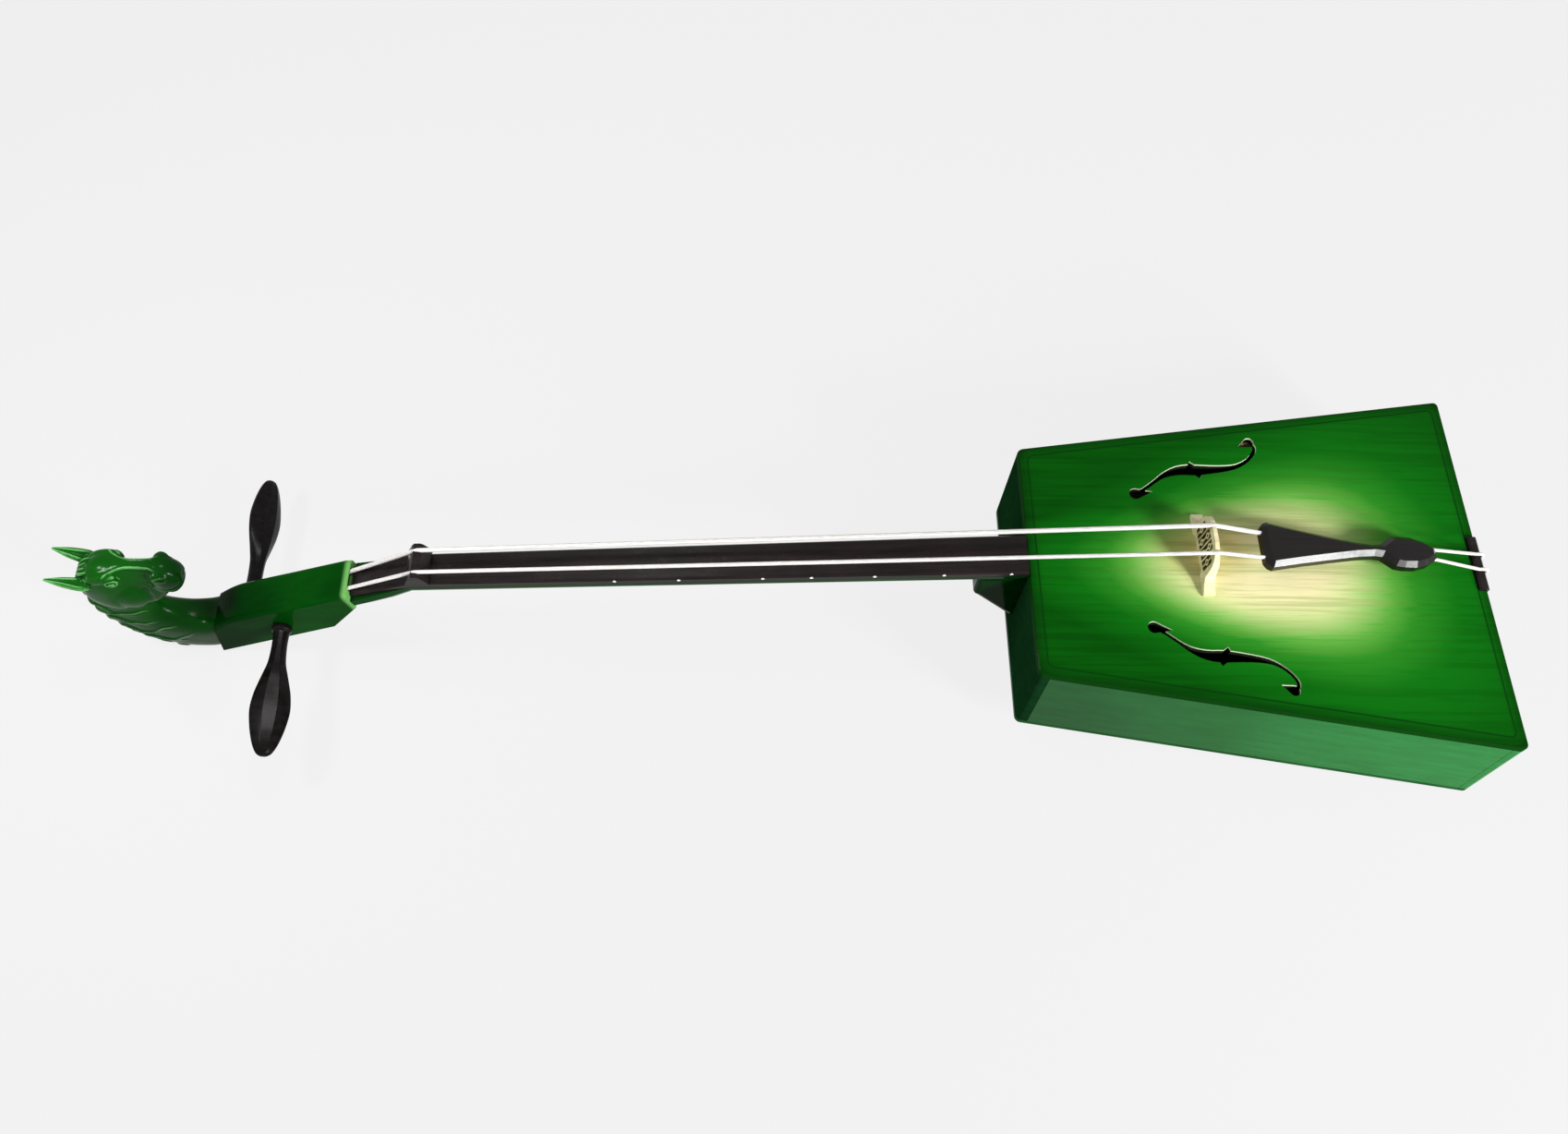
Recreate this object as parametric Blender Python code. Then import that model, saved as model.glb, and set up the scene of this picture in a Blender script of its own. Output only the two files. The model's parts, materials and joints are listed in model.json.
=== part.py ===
"""Morin khuur, a two-stringed fiddle with a trapezoidal sound box and a carved horse's head.

Metres. +X runs from the head to the tail, +Y towards the thick bass string and +Z out of the
sound board. The origin is the centre of the back board's outer face.
"""
import math

import bmesh
import bpy
from mathutils import Matrix, Vector

# Clearances
GAP = 0.0003
SLIDE = 0.0002

# Sound box
BODY_LENGTH = 0.320
BODY_WIDTH_NECK = 0.176
BODY_WIDTH_TAIL = 0.274
BODY_DEPTH = 0.087
CORNER_RADIUS = 0.004
SOUND_BOARD_THICKNESS = 0.0055
BACK_BOARD_THICKNESS = 0.005
BOARD_EDGE_ROUNDING = 0.0012
RIB_THICKNESS = 0.008
LINING_WIDTH = 0.006
LINING_HEIGHT = 0.010
CORNER_BLOCK_LEG = 0.022
NECK_BLOCK_LENGTH = 0.032
NECK_BLOCK_WIDTH = 0.060
TAIL_BLOCK_LENGTH = 0.024
TAIL_BLOCK_WIDTH = 0.050
BASS_BAR_ROOM = 0.012
BASS_BAR_WIDTH = 0.006
BASS_BAR_HEIGHT = 0.012
BASS_BAR_OFFSET = 0.022
SOUND_POST_RADIUS = 0.0045
SOUND_POST_OFFSET = 0.022
SOUND_POST_SETBACK = 0.014

# Sound holes, measured from the neck end of the box and from its centre line
HOLE_PLACE = 0.127
HOLE_OFFSET = 0.0732
HOLE_WAIST_WIDTH = 0.0092
HOLE_STEM_WIDTH = 0.0028
HOLE_LOWER_EYE_RADIUS = 0.0044
HOLE_UPPER_EYE_RADIUS = 0.0038
HOLE_NICK = 0.0072

# Neck and fingerboard, in a frame whose origin is the top edge of the box at the neck
NECK_TILT = math.radians(5.1)
NECK_WIDTH_BODY = 0.0300
NECK_WIDTH_NUT = 0.0242
NECK_DEPTH = 0.0155
HEEL_WIDTH = 0.028
HEEL_LENGTH = 0.033
HEEL_STEP = 0.031
HEEL_DEPTH = 0.066
HEEL_ROUNDING = 0.003
TENON_LENGTH = 0.022
TENON_WIDTH = 0.020
TENON_HEIGHT = 0.044
TENON_DROP = 0.012
BOARD_THICKNESS = 0.005
BOARD_EDGE = 0.0012
BOARD_TO_NUT = 0.4235
DOT_RADIUS = 0.0014
DOT_DEPTH = 0.002
DOT_STEPS = (5, 7, 10, 12, 15, 19, 24)
STEPS_IN_OCTAVE = 12
NUT_BASE_LENGTH = 0.0160
NUT_CROWN_LENGTH = 0.0080
NUT_WIDTH = 0.0270
NUT_HEIGHT = 0.0112
RAMP_THICKNESS = 0.0024

# Pegbox, in a frame whose origin is the front edge of its mouth
PEGBOX_PLACE = 0.4784
PEGBOX_DROP = 0.0049
PEGBOX_TILT = math.radians(19.6)
PEGBOX_WIDTH = 0.0310
PEGBOX_DEPTH = 0.040
PEGBOX_BACK_RISE = 0.0025
PEGBOX_FRONT_LENGTH = 0.095
PEGBOX_BACK_LENGTH = 0.142
PEGBOX_MOUTH_DEPTH = 0.018
PEGBOX_MOUTH_RAKE = 0.003
PEGBOX_RAMP_LENGTH = 0.037
PEGBOX_THROAT_LENGTH = 0.1216
PEGBOX_THROAT_DEPTH = 0.0062
PEGBOX_ROUNDING = 0.0035
PEGBOX_WALL = 0.0065
PEGBOX_FRONT_WALL = 0.007
PEGBOX_END_WALL = 0.014
MOUTH_LIP = 0.0022
MOUTH_LIP_FALL = 0.0014
MOUTH_LIP_LENGTH = 0.0045
CAVITY_LENGTH = 0.118
CAVITY_SLOPE_LENGTH = 0.068

# Pegs
BASS_PEG_PLACE = 0.1068
TREBLE_PEG_PLACE = 0.0725
BASS_PEG_TURN = math.radians(82)
TREBLE_PEG_TURN = math.radians(-40)
BASS_PEG_LEAN = math.radians(1)
TREBLE_PEG_LEAN = math.radians(2)
PEG_DEPTH = 0.0225
PEG_REACH = 0.1165
PEG_SHANK_RADIUS = 0.0042
PEG_COLLAR_RADIUS = 0.0074
PEG_COLLAR_LENGTH = 0.006
PEG_NECK_RADIUS = 0.0055
PEG_PADDLE_WIDTH = 0.0275
PEG_PADDLE_THICKNESS = 0.0120
PEG_BLIND_DEPTH = 0.0045
WINDING_TURNS = 3

# Strings
BASS_STRING_RADIUS = 0.0016
TREBLE_STRING_RADIUS = 0.00135
STRING_GAP_PEGBOX = 0.0134
STRING_GAP_NUT = 0.0170
STRING_GAP_BRIDGE = 0.0212
STRING_GAP_TAILPIECE = 0.0190
STRING_BEND_RADIUS = 0.008
STRING_SIDES = 8

# Bridge
BRIDGE_PLACE = 0.1225
BRIDGE_OFFSET = 0.003
BRIDGE_WIDTH = 0.0635
BRIDGE_HEIGHT = 0.0300
BRIDGE_FOOT_THICKNESS = 0.0085
BRIDGE_CROWN_THICKNESS = 0.0028
BRIDGE_ARCH_HEIGHT = 0.0035
BRIDGE_ARCH_WIDTH = 0.034
BRIDGE_WINDOW_WIDTH = 0.0072
BRIDGE_WINDOW_LOW = 0.0070
BRIDGE_WINDOW_HIGH = 0.0262
BRIDGE_WINDOW_FALL = 0.0048
BRIDGE_WINDOW_PITCH = 0.0084
BRIDGE_WINDOW_RINGS = (1, 2, 2, 1)
BRIDGE_RING_RADIUS = 0.0024
BRIDGE_RING_HOLE = 0.0010
BRIDGE_TIE = 0.0012

# Tailpiece
TAILPIECE_PLACE = 0.157
TAILPIECE_LENGTH = 0.125
TAILPIECE_WIDTH = 0.0350
TAILPIECE_WAIST = 0.0086
TAILPIECE_SHOULDER = 0.0240
TAILPIECE_THICKNESS = 0.009
TAILPIECE_TOP = 0.0270
TAILPIECE_TILT = math.radians(4.4)
TAILPIECE_BEVEL = 0.0034
TAILPIECE_SKIN = 0.0018
STRING_POCKET_START = 0.009
STRING_POCKET_LENGTH = 0.011
CORD_POCKET_START = 0.010
CORD_POCKET_LENGTH = 0.013
STRING_KNOT_RADIUS = 0.0025

# Tail cord, saddle and end pin
CORD_RADIUS = 0.0012
CORD_GAP_TAILPIECE = 0.0076
CORD_GAP_SADDLE = 0.0120
CORD_KNOT_RADIUS = 0.0021
SADDLE_WIDTH = 0.041
SADDLE_LENGTH = 0.0060
SADDLE_RISE = 0.0026
SADDLE_OVERHANG = 0.0008
PIN_HEIGHT = 0.050
PIN_SHANK_RADIUS = 0.004
PIN_NECK_RADIUS = 0.0052
PIN_NECK_LENGTH = 0.0034
PIN_HEAD_RADIUS = 0.0095
PIN_HEAD_LENGTH = 0.006

# Horse's head, in a frame whose origin lies behind the middle of its joint with the pegbox
HEAD_LENGTH = 0.100
HEAD_SINK = 0.0064
HEAD_STEP = 0.0020
HEAD_JOINT_TAPER = 0.84

FINISHES = {
    "green": ((0.010, 0.150, 0.016), 0.22),
    "sunburst": ((0.030, 0.250, 0.020), 0.22),
    "ebony": ((0.012, 0.010, 0.010), 0.28),
    "string": ((0.800, 0.780, 0.740), 0.45),
    "cream": ((0.780, 0.720, 0.460), 0.50),
    "raw": ((0.620, 0.430, 0.230), 0.65),
}

BODY_HALF = BODY_LENGTH / 2
SIDE_SLOPE = (BODY_WIDTH_TAIL - BODY_WIDTH_NECK) / 2 / BODY_LENGTH
RIB_LOW = BACK_BOARD_THICKNESS + GAP
RIB_HIGH = BODY_DEPTH - SOUND_BOARD_THICKNESS - GAP
NECK_FRAME = Matrix.Translation((-BODY_HALF, 0, BODY_DEPTH)) @ Matrix.Rotation(-NECK_TILT, 4, "Y")
PEGBOX_FRAME = (NECK_FRAME @ Matrix.Translation((-PEGBOX_PLACE, 0, -PEGBOX_DROP))
                @ Matrix.Rotation(-PEGBOX_TILT, 4, "Y"))
TAILPIECE_FRAME = (Matrix.Translation((TAILPIECE_PLACE - BODY_HALF, 0, BODY_DEPTH + TAILPIECE_TOP))
                   @ Matrix.Rotation(TAILPIECE_TILT, 4, "Y"))
JOINT_FRONT = Vector((-PEGBOX_THROAT_LENGTH, 0, -PEGBOX_THROAT_DEPTH))
JOINT_BACK = Vector((-PEGBOX_BACK_LENGTH, 0, -PEGBOX_DEPTH))
HEAD_FRAME = Matrix.Translation(PEGBOX_FRAME @ ((JOINT_FRONT + JOINT_BACK) / 2 + Vector((0, 0, -HEAD_SINK))))


def clear_scene():
    """Remove every object that the file opens with."""
    for item in list(bpy.data.objects):
        bpy.data.objects.remove(item, do_unlink=True)


def make_material(name, finish):
    """Return a plain Principled material in one of the named finishes."""
    colour, roughness = FINISHES[finish]
    material = bpy.data.materials.new(name)
    material.use_nodes = True
    shader = material.node_tree.nodes["Principled BSDF"]
    shader.inputs["Base Color"].default_value = (*colour, 1)
    shader.inputs["Roughness"].default_value = roughness
    material.diffuse_color = (*colour, 1)
    return material


def add_empty(name, matrix):
    """Add an empty that carries the pieces of one frame."""
    empty = bpy.data.objects.new(name, None)
    empty.empty_display_size = 0.02
    empty.matrix_world = matrix
    bpy.context.collection.objects.link(empty)
    return empty


def add_piece(name, bm, finish, parent=None):
    """Turn a bmesh into a named object with its own material."""
    bmesh.ops.recalc_face_normals(bm, faces=bm.faces)
    mesh = bpy.data.meshes.new(name)
    bm.to_mesh(mesh)
    bm.free()
    mesh.materials.append(make_material(name, finish))
    piece = bpy.data.objects.new(name, mesh)
    bpy.context.collection.objects.link(piece)
    piece.parent = parent
    return piece


def smooth(piece, angle=math.radians(35)):
    """Shade a round piece smooth, with its sharper edges kept."""
    piece.data.shade_smooth()
    piece.data.set_sharp_from_angle(angle=angle)


def combine(target, bm, operation, parent=None):
    """Cut a tool from the target, or join it on, with an exact boolean."""
    tool = add_piece(f"{target.name}_{operation.lower()}_{len(target.modifiers)}", bm, "raw", parent)
    tool.hide_render = True
    tool.display_type = "WIRE"
    modifier = target.modifiers.new(tool.name, "BOOLEAN")
    modifier.operation = operation
    modifier.object = tool


def box(low, high):
    """Return a box between two corners."""
    bm = bmesh.new()
    bmesh.ops.create_cube(bm, size=1)
    low, high = Vector(low), Vector(high)
    bmesh.ops.scale(bm, vec=high - low, verts=bm.verts)
    bmesh.ops.translate(bm, vec=(low + high) / 2, verts=bm.verts)
    return bm


def prism(outline, low, high, axis="Z"):
    """Extrude a flat outline along Z (outline in X, Y), along Y (X, Z) or along X (Y, Z)."""
    order = {"Z": (0, 1, 2), "Y": (0, 2, 1), "X": (2, 0, 1)}[axis]
    return loft([[[(*point, level)[index] for index in order] for point in outline] for level in (low, high)])


def loft(rings):
    """Skin a row of rings with as many points each, and close both ends."""
    bm = bmesh.new()
    rows = [[bm.verts.new(point) for point in ring] for ring in rings]
    for first, second in zip(rows, rows[1:]):
        for index in range(len(first)):
            after = (index + 1) % len(first)
            bm.faces.new((first[index], first[after], second[after], second[index]))
    bm.faces.new(rows[0])
    bm.faces.new(rows[-1])
    return bm


def turned(profile, axis, centre=(0, 0, 0), sides=24):
    """Spin a profile of (distance along the axis, radius) pairs into a closed solid."""
    rings = [circle(radius, axis, distance, centre, sides) for distance, radius in profile]
    return loft(rings)


def circle(radius, axis, distance, centre, sides):
    """Return the points of a circle round an axis, a distance along it from a centre."""
    ring = []
    for index in range(sides):
        turn = math.tau * (index + 0.5) / sides
        a, b = radius * math.cos(turn), radius * math.sin(turn)
        offset = {"X": (distance, a, b), "Y": (a, distance, b), "Z": (a, b, distance)}[axis]
        ring.append(Vector(centre) + Vector(offset))
    return ring


def bevel_edges(bm, chosen, width, segments):
    """Round or chamfer the edges that a test picks."""
    bmesh.ops.recalc_face_normals(bm, faces=bm.faces)
    edges = [edge for edge in bm.edges if chosen(edge)]
    bmesh.ops.bevel(bm, geom=edges, offset=width, segments=segments, profile=0.5,
                    affect="EDGES", clamp_overlap=True)
    return bm


def smooth_line(points, steps):
    """Return a Catmull-Rom line through points of any dimension."""
    points = [Vector(point) for point in points]
    line = []
    for index in range(len(points) - 1):
        before = points[max(index - 1, 0)]
        start, end = points[index], points[index + 1]
        after = points[min(index + 2, len(points) - 1)]
        for step in range(steps):
            t = step / steps
            line.append(0.5 * (2 * start + (end - before) * t
                               + (2 * before - 5 * start + 4 * end - after) * t ** 2
                               + (3 * start - before - 3 * end + after) * t ** 3))
    line.append(points[-1])
    return line


def round_corners(points, radius, steps=4):
    """Return a route whose inner corners are replaced by short arcs."""
    points = [Vector(point) for point in points]
    route = [points[0]]
    for before, corner, after in zip(points, points[1:], points[2:]):
        into, out = (before - corner), (after - corner)
        turn = math.pi - into.angle(out)
        reach = min(radius * math.tan(turn / 2), into.length / 3, out.length / 3)
        start, end = corner + into.normalized() * reach, corner + out.normalized() * reach
        for step in range(steps + 1):
            t = step / steps
            route.append((1 - t) ** 2 * start + 2 * t * (1 - t) * corner + t ** 2 * end)
    route.append(points[-1])
    return route


def tube(route, radius, sides=STRING_SIDES):
    """Sweep a round section along a route, turning it as little as it can."""
    route = [Vector(point) for point in route]
    tangents = [(after - before).normalized()
                for before, after in zip([route[0]] + route[:-1], route[1:] + [route[-1]])]
    normal = tangents[0].orthogonal().normalized()
    rings = []
    for index, point in enumerate(route):
        if index:
            normal = tangents[index - 1].rotation_difference(tangents[index]) @ normal
        side = tangents[index].cross(normal)
        rings.append([point + radius * (math.cos(turn) * normal + math.sin(turn) * side)
                      for turn in (math.tau * (n + 0.5) / sides for n in range(sides))])
    return loft(rings)


def half_width(x, inset=0.0):
    """Return the half width of the sound box at x, less an inset square to its side."""
    middle = (BODY_WIDTH_NECK + BODY_WIDTH_TAIL) / 4
    return middle + SIDE_SLOPE * x - inset * math.hypot(1, SIDE_SLOPE)


def trapezoid(start, end, inset=0.0):
    """Return the plan of the box between two x values."""
    return [(start, -half_width(start, inset)), (end, -half_width(end, inset)),
            (end, half_width(end, inset)), (start, half_width(start, inset))]


def is_upright(edge):
    """Tell whether an edge runs along Z."""
    return abs(edge.verts[0].co.z - edge.verts[1].co.z) > GAP


def at_level(edge, level):
    """Tell whether an edge lies in a level plane."""
    return all(abs(vert.co.z - level) < SLIDE / 2 for vert in edge.verts)


def make_board(name, low, high, outer, finish):
    """Make the sound board or the back board, with its outer edge rounded."""
    bm = prism(trapezoid(-BODY_HALF, BODY_HALF), low, high)
    bevel_edges(bm, is_upright, CORNER_RADIUS, 4)
    bevel_edges(bm, lambda edge: at_level(edge, outer), BOARD_EDGE_ROUNDING, 2)
    return add_piece(name, bm, finish)


def teardrop(centre, radius, beak, sides=14):
    """Return a circle drawn out to a point."""
    centre, beak = Vector(centre), Vector(beak)
    reach = beak - centre
    spread = math.acos(radius / reach.length)
    heading = math.atan2(reach.y, reach.x)
    points = [tuple(beak)]
    for index in range(sides + 1):
        turn = heading + spread + (math.tau - 2 * spread) * index / sides
        points.append((centre.x + radius * math.cos(turn), centre.y + radius * math.sin(turn)))
    return points


def sound_hole_outlines(side):
    """Return the outlines that together cut one f-shaped sound hole."""
    stem, waist = HOLE_STEM_WIDTH / 2, HOLE_WAIST_WIDTH / 2
    centre_line = [(-0.0450, -0.0205, stem), (-0.0380, -0.0165, stem), (-0.0300, -0.0103, stem),
                   (-0.0235, -0.0055, 0.45 * waist), (-0.0160, -0.0020, 0.72 * waist),
                   (-0.0080, -0.0002, 0.93 * waist), (0.0005, 0.0000, waist), (0.0122, 0.0006, 0.78 * waist),
                   (0.0243, 0.0020, 0.56 * waist), (0.0325, 0.0042, 0.41 * waist), (0.0405, 0.0092, stem),
                   (0.0462, 0.0162, stem), (0.0468, 0.0212, stem), (0.0440, 0.0246, stem)]
    line = smooth_line(centre_line, 2)
    left, right = [], []
    for before, point, after in zip([line[0]] + line[:-1], line, line[1:] + [line[-1]]):
        heading = Vector((after.x - before.x, after.y - before.y)).normalized()
        across = Vector((-heading.y, heading.x)) * point.z
        left.append((point.x + across.x, point.y + across.y))
        right.append((point.x - across.x, point.y - across.y))
    outlines = [left + right[::-1],
                teardrop((-0.0452, -0.0208), HOLE_LOWER_EYE_RADIUS, (-0.0325, -0.0188)),
                teardrop((0.0436, 0.0242), HOLE_UPPER_EYE_RADIUS, (0.0352, 0.0202)),
                [(-0.0060, 0.0), (0.0036, -HOLE_NICK), (0.0068, 0.0), (-0.0025, HOLE_NICK)]]
    start = HOLE_PLACE - BODY_HALF
    return [[(start + x, side * (HOLE_OFFSET + y)) for x, y in outline] for outline in outlines]


def make_sound_board():
    """Make the sound board, with both sound holes and the notch for the saddle."""
    low = BODY_DEPTH - SOUND_BOARD_THICKNESS
    board = make_board("sound_board", low, BODY_DEPTH, BODY_DEPTH, "sunburst")
    for side in (1, -1):
        for outline in sound_hole_outlines(side):
            combine(board, prism(outline, low - SOUND_BOARD_THICKNESS, BODY_DEPTH + SOUND_BOARD_THICKNESS),
                    "DIFFERENCE")
    notch = SADDLE_WIDTH / 2 + GAP
    combine(board, box((BODY_HALF - SADDLE_LENGTH - GAP, -notch, low - GAP),
                       (BODY_HALF + SADDLE_LENGTH, notch, BODY_DEPTH + SADDLE_LENGTH)), "DIFFERENCE")


def make_end_rib(name, outer, inner):
    """Make the rib at one end, whose outer corners are rounded."""
    bm = prism(trapezoid(min(outer, inner), max(outer, inner)), RIB_LOW, RIB_HIGH)
    bevel_edges(bm, lambda edge: is_upright(edge) and abs(edge.verts[0].co.x - outer) < GAP, CORNER_RADIUS, 4)
    return add_piece(name, bm, "green")


def make_side_piece(name, side, start, end, outer, inner, low, high, finish):
    """Make a straight strip along one slanting side, between two insets from the outer face."""
    outline = [(start, side * half_width(start, outer)), (end, side * half_width(end, outer)),
               (end, side * half_width(end, inner)), (start, side * half_width(start, inner))]
    return add_piece(name, prism(outline, low, high), finish)


def make_sound_box():
    """Make the boards, the ribs and all that is glued inside them."""
    make_sound_board()
    make_board("back_board", 0, BACK_BOARD_THICKNESS, 0, "green")
    neck_inner, tail_inner = RIB_THICKNESS - BODY_HALF, BODY_HALF - RIB_THICKNESS
    neck_rib = make_end_rib("neck_end_rib", -BODY_HALF, neck_inner)
    tail_rib = make_end_rib("tail_end_rib", BODY_HALF, tail_inner)
    for side, name in ((1, "bass"), (-1, "treble")):
        make_side_piece(f"{name}_side_rib", side, neck_inner + GAP, tail_inner - GAP, 0, RIB_THICKNESS,
                        RIB_LOW, RIB_HIGH, "green")
        make_linings(name, side, neck_inner, tail_inner)
        for end, x, towards in (("neck", neck_inner + GAP, 1), ("tail", tail_inner - GAP, -1)):
            inset = RIB_THICKNESS + GAP
            tip = half_width(x, inset)
            leg = x + towards * CORNER_BLOCK_LEG
            outline = [(x, side * tip), (leg, side * half_width(leg, inset)),
                       (x, side * (tip - CORNER_BLOCK_LEG))]
            add_piece(f"{end}_{name}_corner_block", prism(outline, RIB_LOW, RIB_HIGH), "raw")
    make_blocks(neck_rib, tail_rib, neck_inner, tail_inner)
    make_bar_and_post()


def make_linings(name, side, neck_inner, tail_inner):
    """Make the glue strips along the side rib and the end ribs, front and back."""
    clear = CORNER_BLOCK_LEG + 2 * GAP
    inset = RIB_THICKNESS + GAP
    levels = {"front": (RIB_HIGH - LINING_HEIGHT, RIB_HIGH), "back": (RIB_LOW, RIB_LOW + LINING_HEIGHT)}
    for level, (low, high) in levels.items():
        make_side_piece(f"{name}_side_lining_{level}", side, neck_inner + clear, tail_inner - clear,
                        inset, inset + LINING_WIDTH, low, high, "raw")
        for end, x, towards, block in (("neck", neck_inner + GAP, 1, NECK_BLOCK_WIDTH),
                                       ("tail", tail_inner - GAP, -1, TAIL_BLOCK_WIDTH)):
            far = x + towards * LINING_WIDTH
            outer = half_width(x, inset) - clear
            near_side = block / 2 + GAP
            outline = [(x, side * near_side), (far, side * near_side), (far, side * outer), (x, side * outer)]
            add_piece(f"{name}_{end}_lining_{level}", prism(outline, low, high), "raw")


def make_blocks(neck_rib, tail_rib, neck_inner, tail_inner):
    """Make the neck and tail blocks, and the holes for the neck's tenon and for the end pin."""
    neck_block = add_piece("neck_block", box(
        (neck_inner + GAP, -NECK_BLOCK_WIDTH / 2, RIB_LOW),
        (neck_inner + NECK_BLOCK_LENGTH, NECK_BLOCK_WIDTH / 2, RIB_HIGH)), "raw")
    tail_block = add_piece("tail_block", box(
        (tail_inner - TAIL_BLOCK_LENGTH, -TAIL_BLOCK_WIDTH / 2, RIB_LOW),
        (tail_inner - GAP, TAIL_BLOCK_WIDTH / 2, RIB_HIGH)), "raw")
    mortise_low = BODY_DEPTH - TENON_DROP - TENON_HEIGHT - GAP
    mortise_high = BODY_DEPTH - TENON_DROP + GAP
    mortise_half = TENON_WIDTH / 2 + GAP
    for piece in (neck_rib, neck_block):
        combine(piece, box((-BODY_HALF - RIB_THICKNESS, -mortise_half, mortise_low),
                           (-BODY_HALF + TENON_LENGTH + GAP, mortise_half, mortise_high)), "DIFFERENCE")
    for piece in (tail_rib, tail_block):
        reach = RIB_THICKNESS + TAIL_BLOCK_LENGTH + RIB_THICKNESS
        combine(piece, turned([(-reach, PIN_SHANK_RADIUS + GAP), (reach, PIN_SHANK_RADIUS + GAP)], "X",
                              (BODY_HALF, 0, PIN_HEIGHT)), "DIFFERENCE")
    notch = SADDLE_WIDTH / 2 + GAP
    combine(tail_rib, box((BODY_HALF - SADDLE_LENGTH - GAP, -notch, RIB_HIGH - GAP),
                          (BODY_HALF + RIB_THICKNESS, notch, BODY_DEPTH)), "DIFFERENCE")


def make_bar_and_post():
    """Make the bass bar under the bass foot of the bridge and the sound post by the treble foot."""
    bridge_x = BRIDGE_PLACE - BODY_HALF
    start = RIB_THICKNESS + NECK_BLOCK_LENGTH + BASS_BAR_ROOM - BODY_HALF
    end = BODY_HALF - RIB_THICKNESS - TAIL_BLOCK_LENGTH - BASS_BAR_ROOM
    taper = (end - start) / 4
    tip = BASS_BAR_HEIGHT / 3
    outline = [(start, RIB_HIGH), (start, RIB_HIGH - tip), (start + taper, RIB_HIGH - BASS_BAR_HEIGHT),
               (end - taper, RIB_HIGH - BASS_BAR_HEIGHT), (end, RIB_HIGH - tip), (end, RIB_HIGH)]
    add_piece("bass_bar", prism(outline, BASS_BAR_OFFSET, BASS_BAR_OFFSET + BASS_BAR_WIDTH, "Y"), "raw")
    post = add_piece("sound_post", turned([(RIB_LOW, SOUND_POST_RADIUS), (RIB_HIGH, SOUND_POST_RADIUS)], "Z",
                                          (bridge_x + SOUND_POST_SETBACK, -SOUND_POST_OFFSET, 0), 16), "raw")
    smooth(post)


def neck_width(distance):
    """Return the width of the fingerboard at a distance from the box."""
    share = min(distance / BOARD_TO_NUT, 1)
    return NECK_WIDTH_BODY + (NECK_WIDTH_NUT - NECK_WIDTH_BODY) * share


def in_neck(x, z):
    """Return the world point at x and z in the neck's frame, on the centre plane."""
    return NECK_FRAME @ Vector((x, 0, z))


def in_pegbox(x, z, y=0.0):
    """Return the world point at x, y and z in the pegbox's frame."""
    return PEGBOX_FRAME @ Vector((x, y, z))


def belly_ring(top, bottom, width, fullness, steps=10):
    """Return a section with a flat top and a round or boxy belly, between two centre points."""
    ring = []
    for step in range(steps + 1):
        turn = math.pi * step / steps
        across = math.copysign(abs(math.cos(turn)) ** (2 / fullness), math.cos(turn))
        down = math.sin(turn) ** (2 / fullness)
        point = top.lerp(bottom, down)
        ring.append((point.x, across * width / 2, point.z))
    return ring


def ramp_foot():
    """Return the end of the fingerboard's ramp at the pegbox's mouth, in the neck's frame."""
    sill = mouth_string_depth() + BASS_STRING_RADIUS + GAP
    return NECK_FRAME.inverted() @ in_pegbox(GAP, -sill)


def mouth_string_depth():
    """Return how far below the pegbox's front the strings' axes pass its mouth."""
    return MOUTH_LIP + GAP + BASS_STRING_RADIUS


def peg_string_depth(radius):
    """Return how far below the pegbox's front a string's axis leaves the turns on its peg."""
    return PEG_DEPTH - PEG_SHANK_RADIUS - 2 * GAP - 3 * radius


def make_neck():
    """Make the neck in one piece with its heel and the tenon that holds it in the box."""
    foot = ramp_foot()
    ramp_start = BOARD_TO_NUT + NUT_BASE_LENGTH / 2
    rings = []
    for share in (0.0, 0.25, 0.5, 0.75, 1.0):
        x = -GAP * 2 - share * (ramp_start - 2 * GAP)
        top, bottom = in_neck(x, -GAP), in_neck(x, -NECK_DEPTH)
        if share == 0:
            top.x = bottom.x = -BODY_HALF - GAP
        rings.append(belly_ring(top, bottom, neck_width(-x), 2))
    under = RAMP_THICKNESS + GAP
    end_bottom = in_pegbox(GAP - PEGBOX_MOUTH_RAKE, -PEGBOX_MOUTH_DEPTH)
    end_top = in_neck(foot.x, foot.z - under)
    last_top, last_bottom = in_neck(-ramp_start, -GAP), in_neck(-ramp_start, -NECK_DEPTH)
    for share in (0.35, 0.7, 1.0):
        width = neck_width(ramp_start) + (PEGBOX_WIDTH - neck_width(ramp_start)) * share
        rings.append(belly_ring(last_top.lerp(end_top, share), last_bottom.lerp(end_bottom, share), width,
                                2 + 4 * share))
    neck = add_piece("neck", loft(rings), "green")
    face = -BODY_HALF - GAP
    heel = [(face, BODY_DEPTH - 0.4 * NECK_DEPTH), (face - HEEL_LENGTH, BODY_DEPTH - 0.5 * NECK_DEPTH),
            (face - HEEL_LENGTH, BODY_DEPTH - HEEL_STEP),
            (face - 0.9 * HEEL_LENGTH, BODY_DEPTH - HEEL_STEP - HEEL_ROUNDING),
            (face - 0.22 * HEEL_LENGTH, BODY_DEPTH - 0.89 * HEEL_DEPTH), (face, BODY_DEPTH - HEEL_DEPTH)]
    heel_block = prism(heel, -HEEL_WIDTH / 2, HEEL_WIDTH / 2, "Y")
    bevel_edges(heel_block, lambda edge: is_flank_edge(edge, face), HEEL_ROUNDING, 2)
    combine(neck, heel_block, "UNION")
    tenon_high = BODY_DEPTH - TENON_DROP
    combine(neck, box((face - HEEL_ROUNDING, -TENON_WIDTH / 2, tenon_high - TENON_HEIGHT),
                      (-BODY_HALF + TENON_LENGTH, TENON_WIDTH / 2, tenon_high)), "UNION")
    smooth(neck)


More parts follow.
